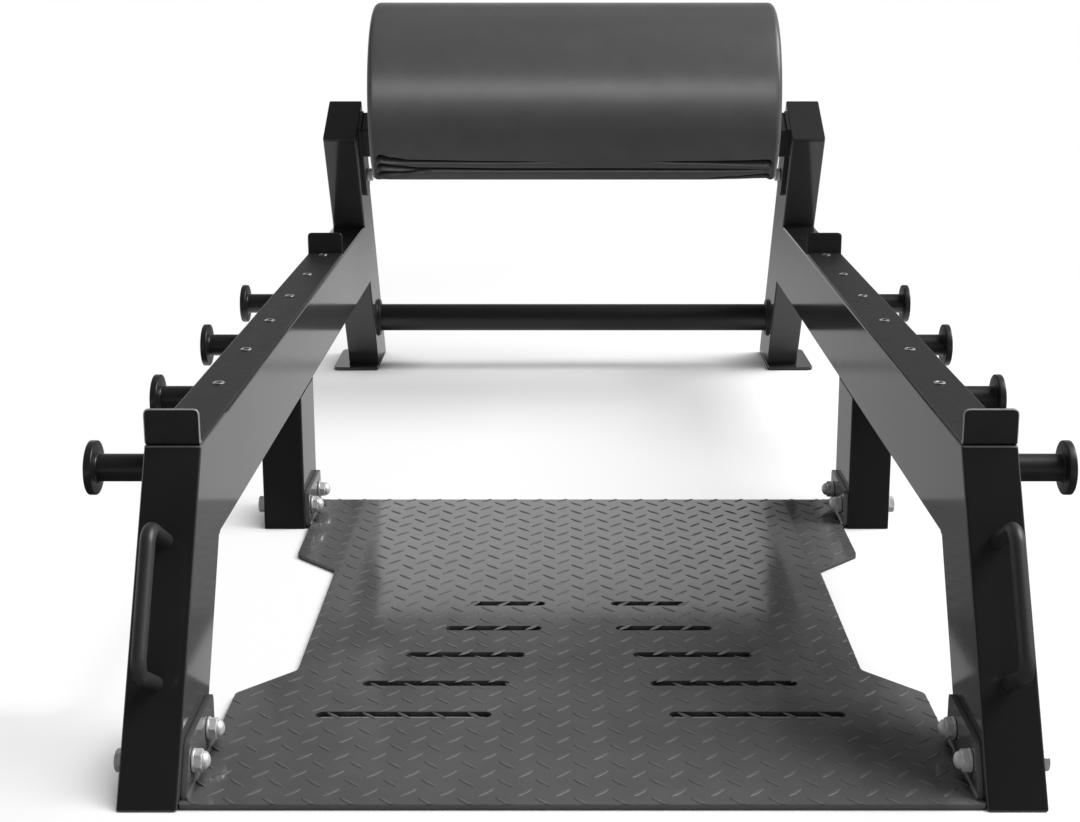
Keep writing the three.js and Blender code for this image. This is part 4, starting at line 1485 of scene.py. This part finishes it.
def make_world(settings):
    """The room: an even light, white to the camera, and lamps and dark gaps in what the gloss mirrors."""
    world = bpy.data.worlds.new("studio")
    bpy.context.scene.world = world
    world.use_nodes = True
    room = Wiring(world.node_tree)
    room.nodes.clear()
    output = room.add("ShaderNodeOutputWorld")
    even = room.add("ShaderNodeBackground", Color=WHITE, Strength=settings.sky)
    plain = room.add("ShaderNodeBackground", Color=WHITE, Strength=1)
    mirrored = room.add("ShaderNodeBackground")
    direction = room.split(room.add("ShaderNodeTexCoord").outputs["Generated"])
    from_left = room.nodes.new("ShaderNodeMath")
    from_left.inputs[1].default_value = 0.5
    room.link(direction["X"], from_left.inputs[0])
    sides = room.nodes.new("ShaderNodeMix")
    sides.data_type = "RGBA"
    room.link(room.spread(direction["Z"], 0, 1, floor=0.20, ceiling=0.26), sides.inputs["Factor"])
    room.link(room.grey_steps(from_left.outputs[0], LOW_SIDES), sides.inputs["A"])
    room.link(room.grey_steps(from_left.outputs[0], HIGH_SIDES), sides.inputs["B"])
    tone = room.nodes.new("ShaderNodeVectorMath")
    tone.operation = "MULTIPLY"
    room.link(room.grey_steps(direction["Z"], ROOM_BY_HEIGHT), tone.inputs[0])
    room.link(sides.outputs["Result"], tone.inputs[1])
    room.link(tone.outputs["Vector"], mirrored.inputs["Color"])
    room.link(room.spread(direction["Y"], 0.12, 1, floor=-0.35, ceiling=0.05), mirrored.inputs["Strength"])
    path = room.add("ShaderNodeLightPath").outputs
    lit = room.blend(path["Is Glossy Ray"], even.outputs[0], mirrored.outputs[0])
    room.link(room.blend(path["Is Camera Ray"], lit, plain.outputs[0]), output.inputs["Surface"])


def make_lamp(name, power, place, aim, size):
    data = bpy.data.lights.new(name, "AREA")
    data.shape = "RECTANGLE"
    data.size, data.size_y = size
    data.energy = power
    lamp = bpy.data.objects.new(name, data)
    lamp.location = place
    lamp.rotation_euler = (Vector(aim) - Vector(place)).to_track_quat("-Z", "Y").to_euler()
    bpy.context.scene.collection.objects.link(lamp)
    return lamp


def make_camera():
    data = bpy.data.cameras.new("front_camera")
    data.sensor_width = SENSOR_WIDTH
    data.lens = CAMERA_LENS
    data.shift_x, data.shift_y = CAMERA_SHIFT
    camera = bpy.data.objects.new("front_camera", data)
    camera.location = CAMERA_PLACE
    camera.rotation_euler = (CAMERA_TILT, 0, 0)
    bpy.context.scene.collection.objects.link(camera)
    bpy.context.scene.camera = camera


class BENCH_OT_set_stage(bpy.types.Operator):
    """Set the white floor, the soft lamps and the camera"""

    bl_idname = "bench.set_stage"
    bl_label = "Set stage"

    def execute(self, context):
        settings = context.scene.bench_stage
        context.scene.view_settings.view_transform = "Standard"
        make_floor(settings)
        make_world(settings)
        make_lamp("side_lamp", settings.key, **SIDE_LAMP)
        lit_apart = bpy.data.collections.new("pad_lit_apart")
        lit_apart.objects.link(bpy.data.objects["roll_pad"])
        strip = make_lamp("pad_strip", settings.strip, **PAD_STRIP)
        fill = make_lamp("pad_fill", settings.fill, **PAD_FILL)
        for lamp in (strip, fill):
            lamp.light_linking.receiver_collection = lit_apart
        make_camera()
        return {"FINISHED"}


# Panel and registration

STEPS = (
    BENCH_OT_paint_frame,
    BENCH_OT_make_welds,
    BENCH_OT_grind_seams,
    BENCH_OT_make_liner_screws,
    BENCH_OT_make_band_pegs,
    BENCH_OT_make_handles,
    BENCH_OT_make_fasteners,
    BENCH_OT_make_tread,
    BENCH_OT_make_pad,
    BENCH_OT_set_stage,
)


class BENCH_PT_panel(bpy.types.Panel):
    """Lists the bench's making steps and their settings"""

    bl_idname = "BENCH_PT_panel"
    bl_label = "Hip thrust bench"
    bl_space_type = "VIEW_3D"
    bl_region_type = "UI"
    bl_category = "Bench"

    def draw(self, context):
        for name in SETTINGS:
            group = getattr(context.scene, name)
            box = self.layout.box()
            for key in group.__annotations__:
                box.prop(group, key)
        for step in STEPS:
            self.layout.operator(step.bl_idname)


CLASSES = (*SETTINGS.values(), *STEPS, BENCH_PT_panel)


def register():
    for cls in CLASSES:
        bpy.utils.register_class(cls)
    for name, group in SETTINGS.items():
        setattr(bpy.types.Scene, name, PointerProperty(type=group))


def unregister():
    for name in SETTINGS:
        delattr(bpy.types.Scene, name)
    for cls in reversed(CLASSES):
        bpy.utils.unregister_class(cls)


def main():
    register()
    for step in STEPS:
        family, name = step.bl_idname.split(".")
        getattr(getattr(bpy.ops, family), name)()


if __name__ == "__main__":
    main()
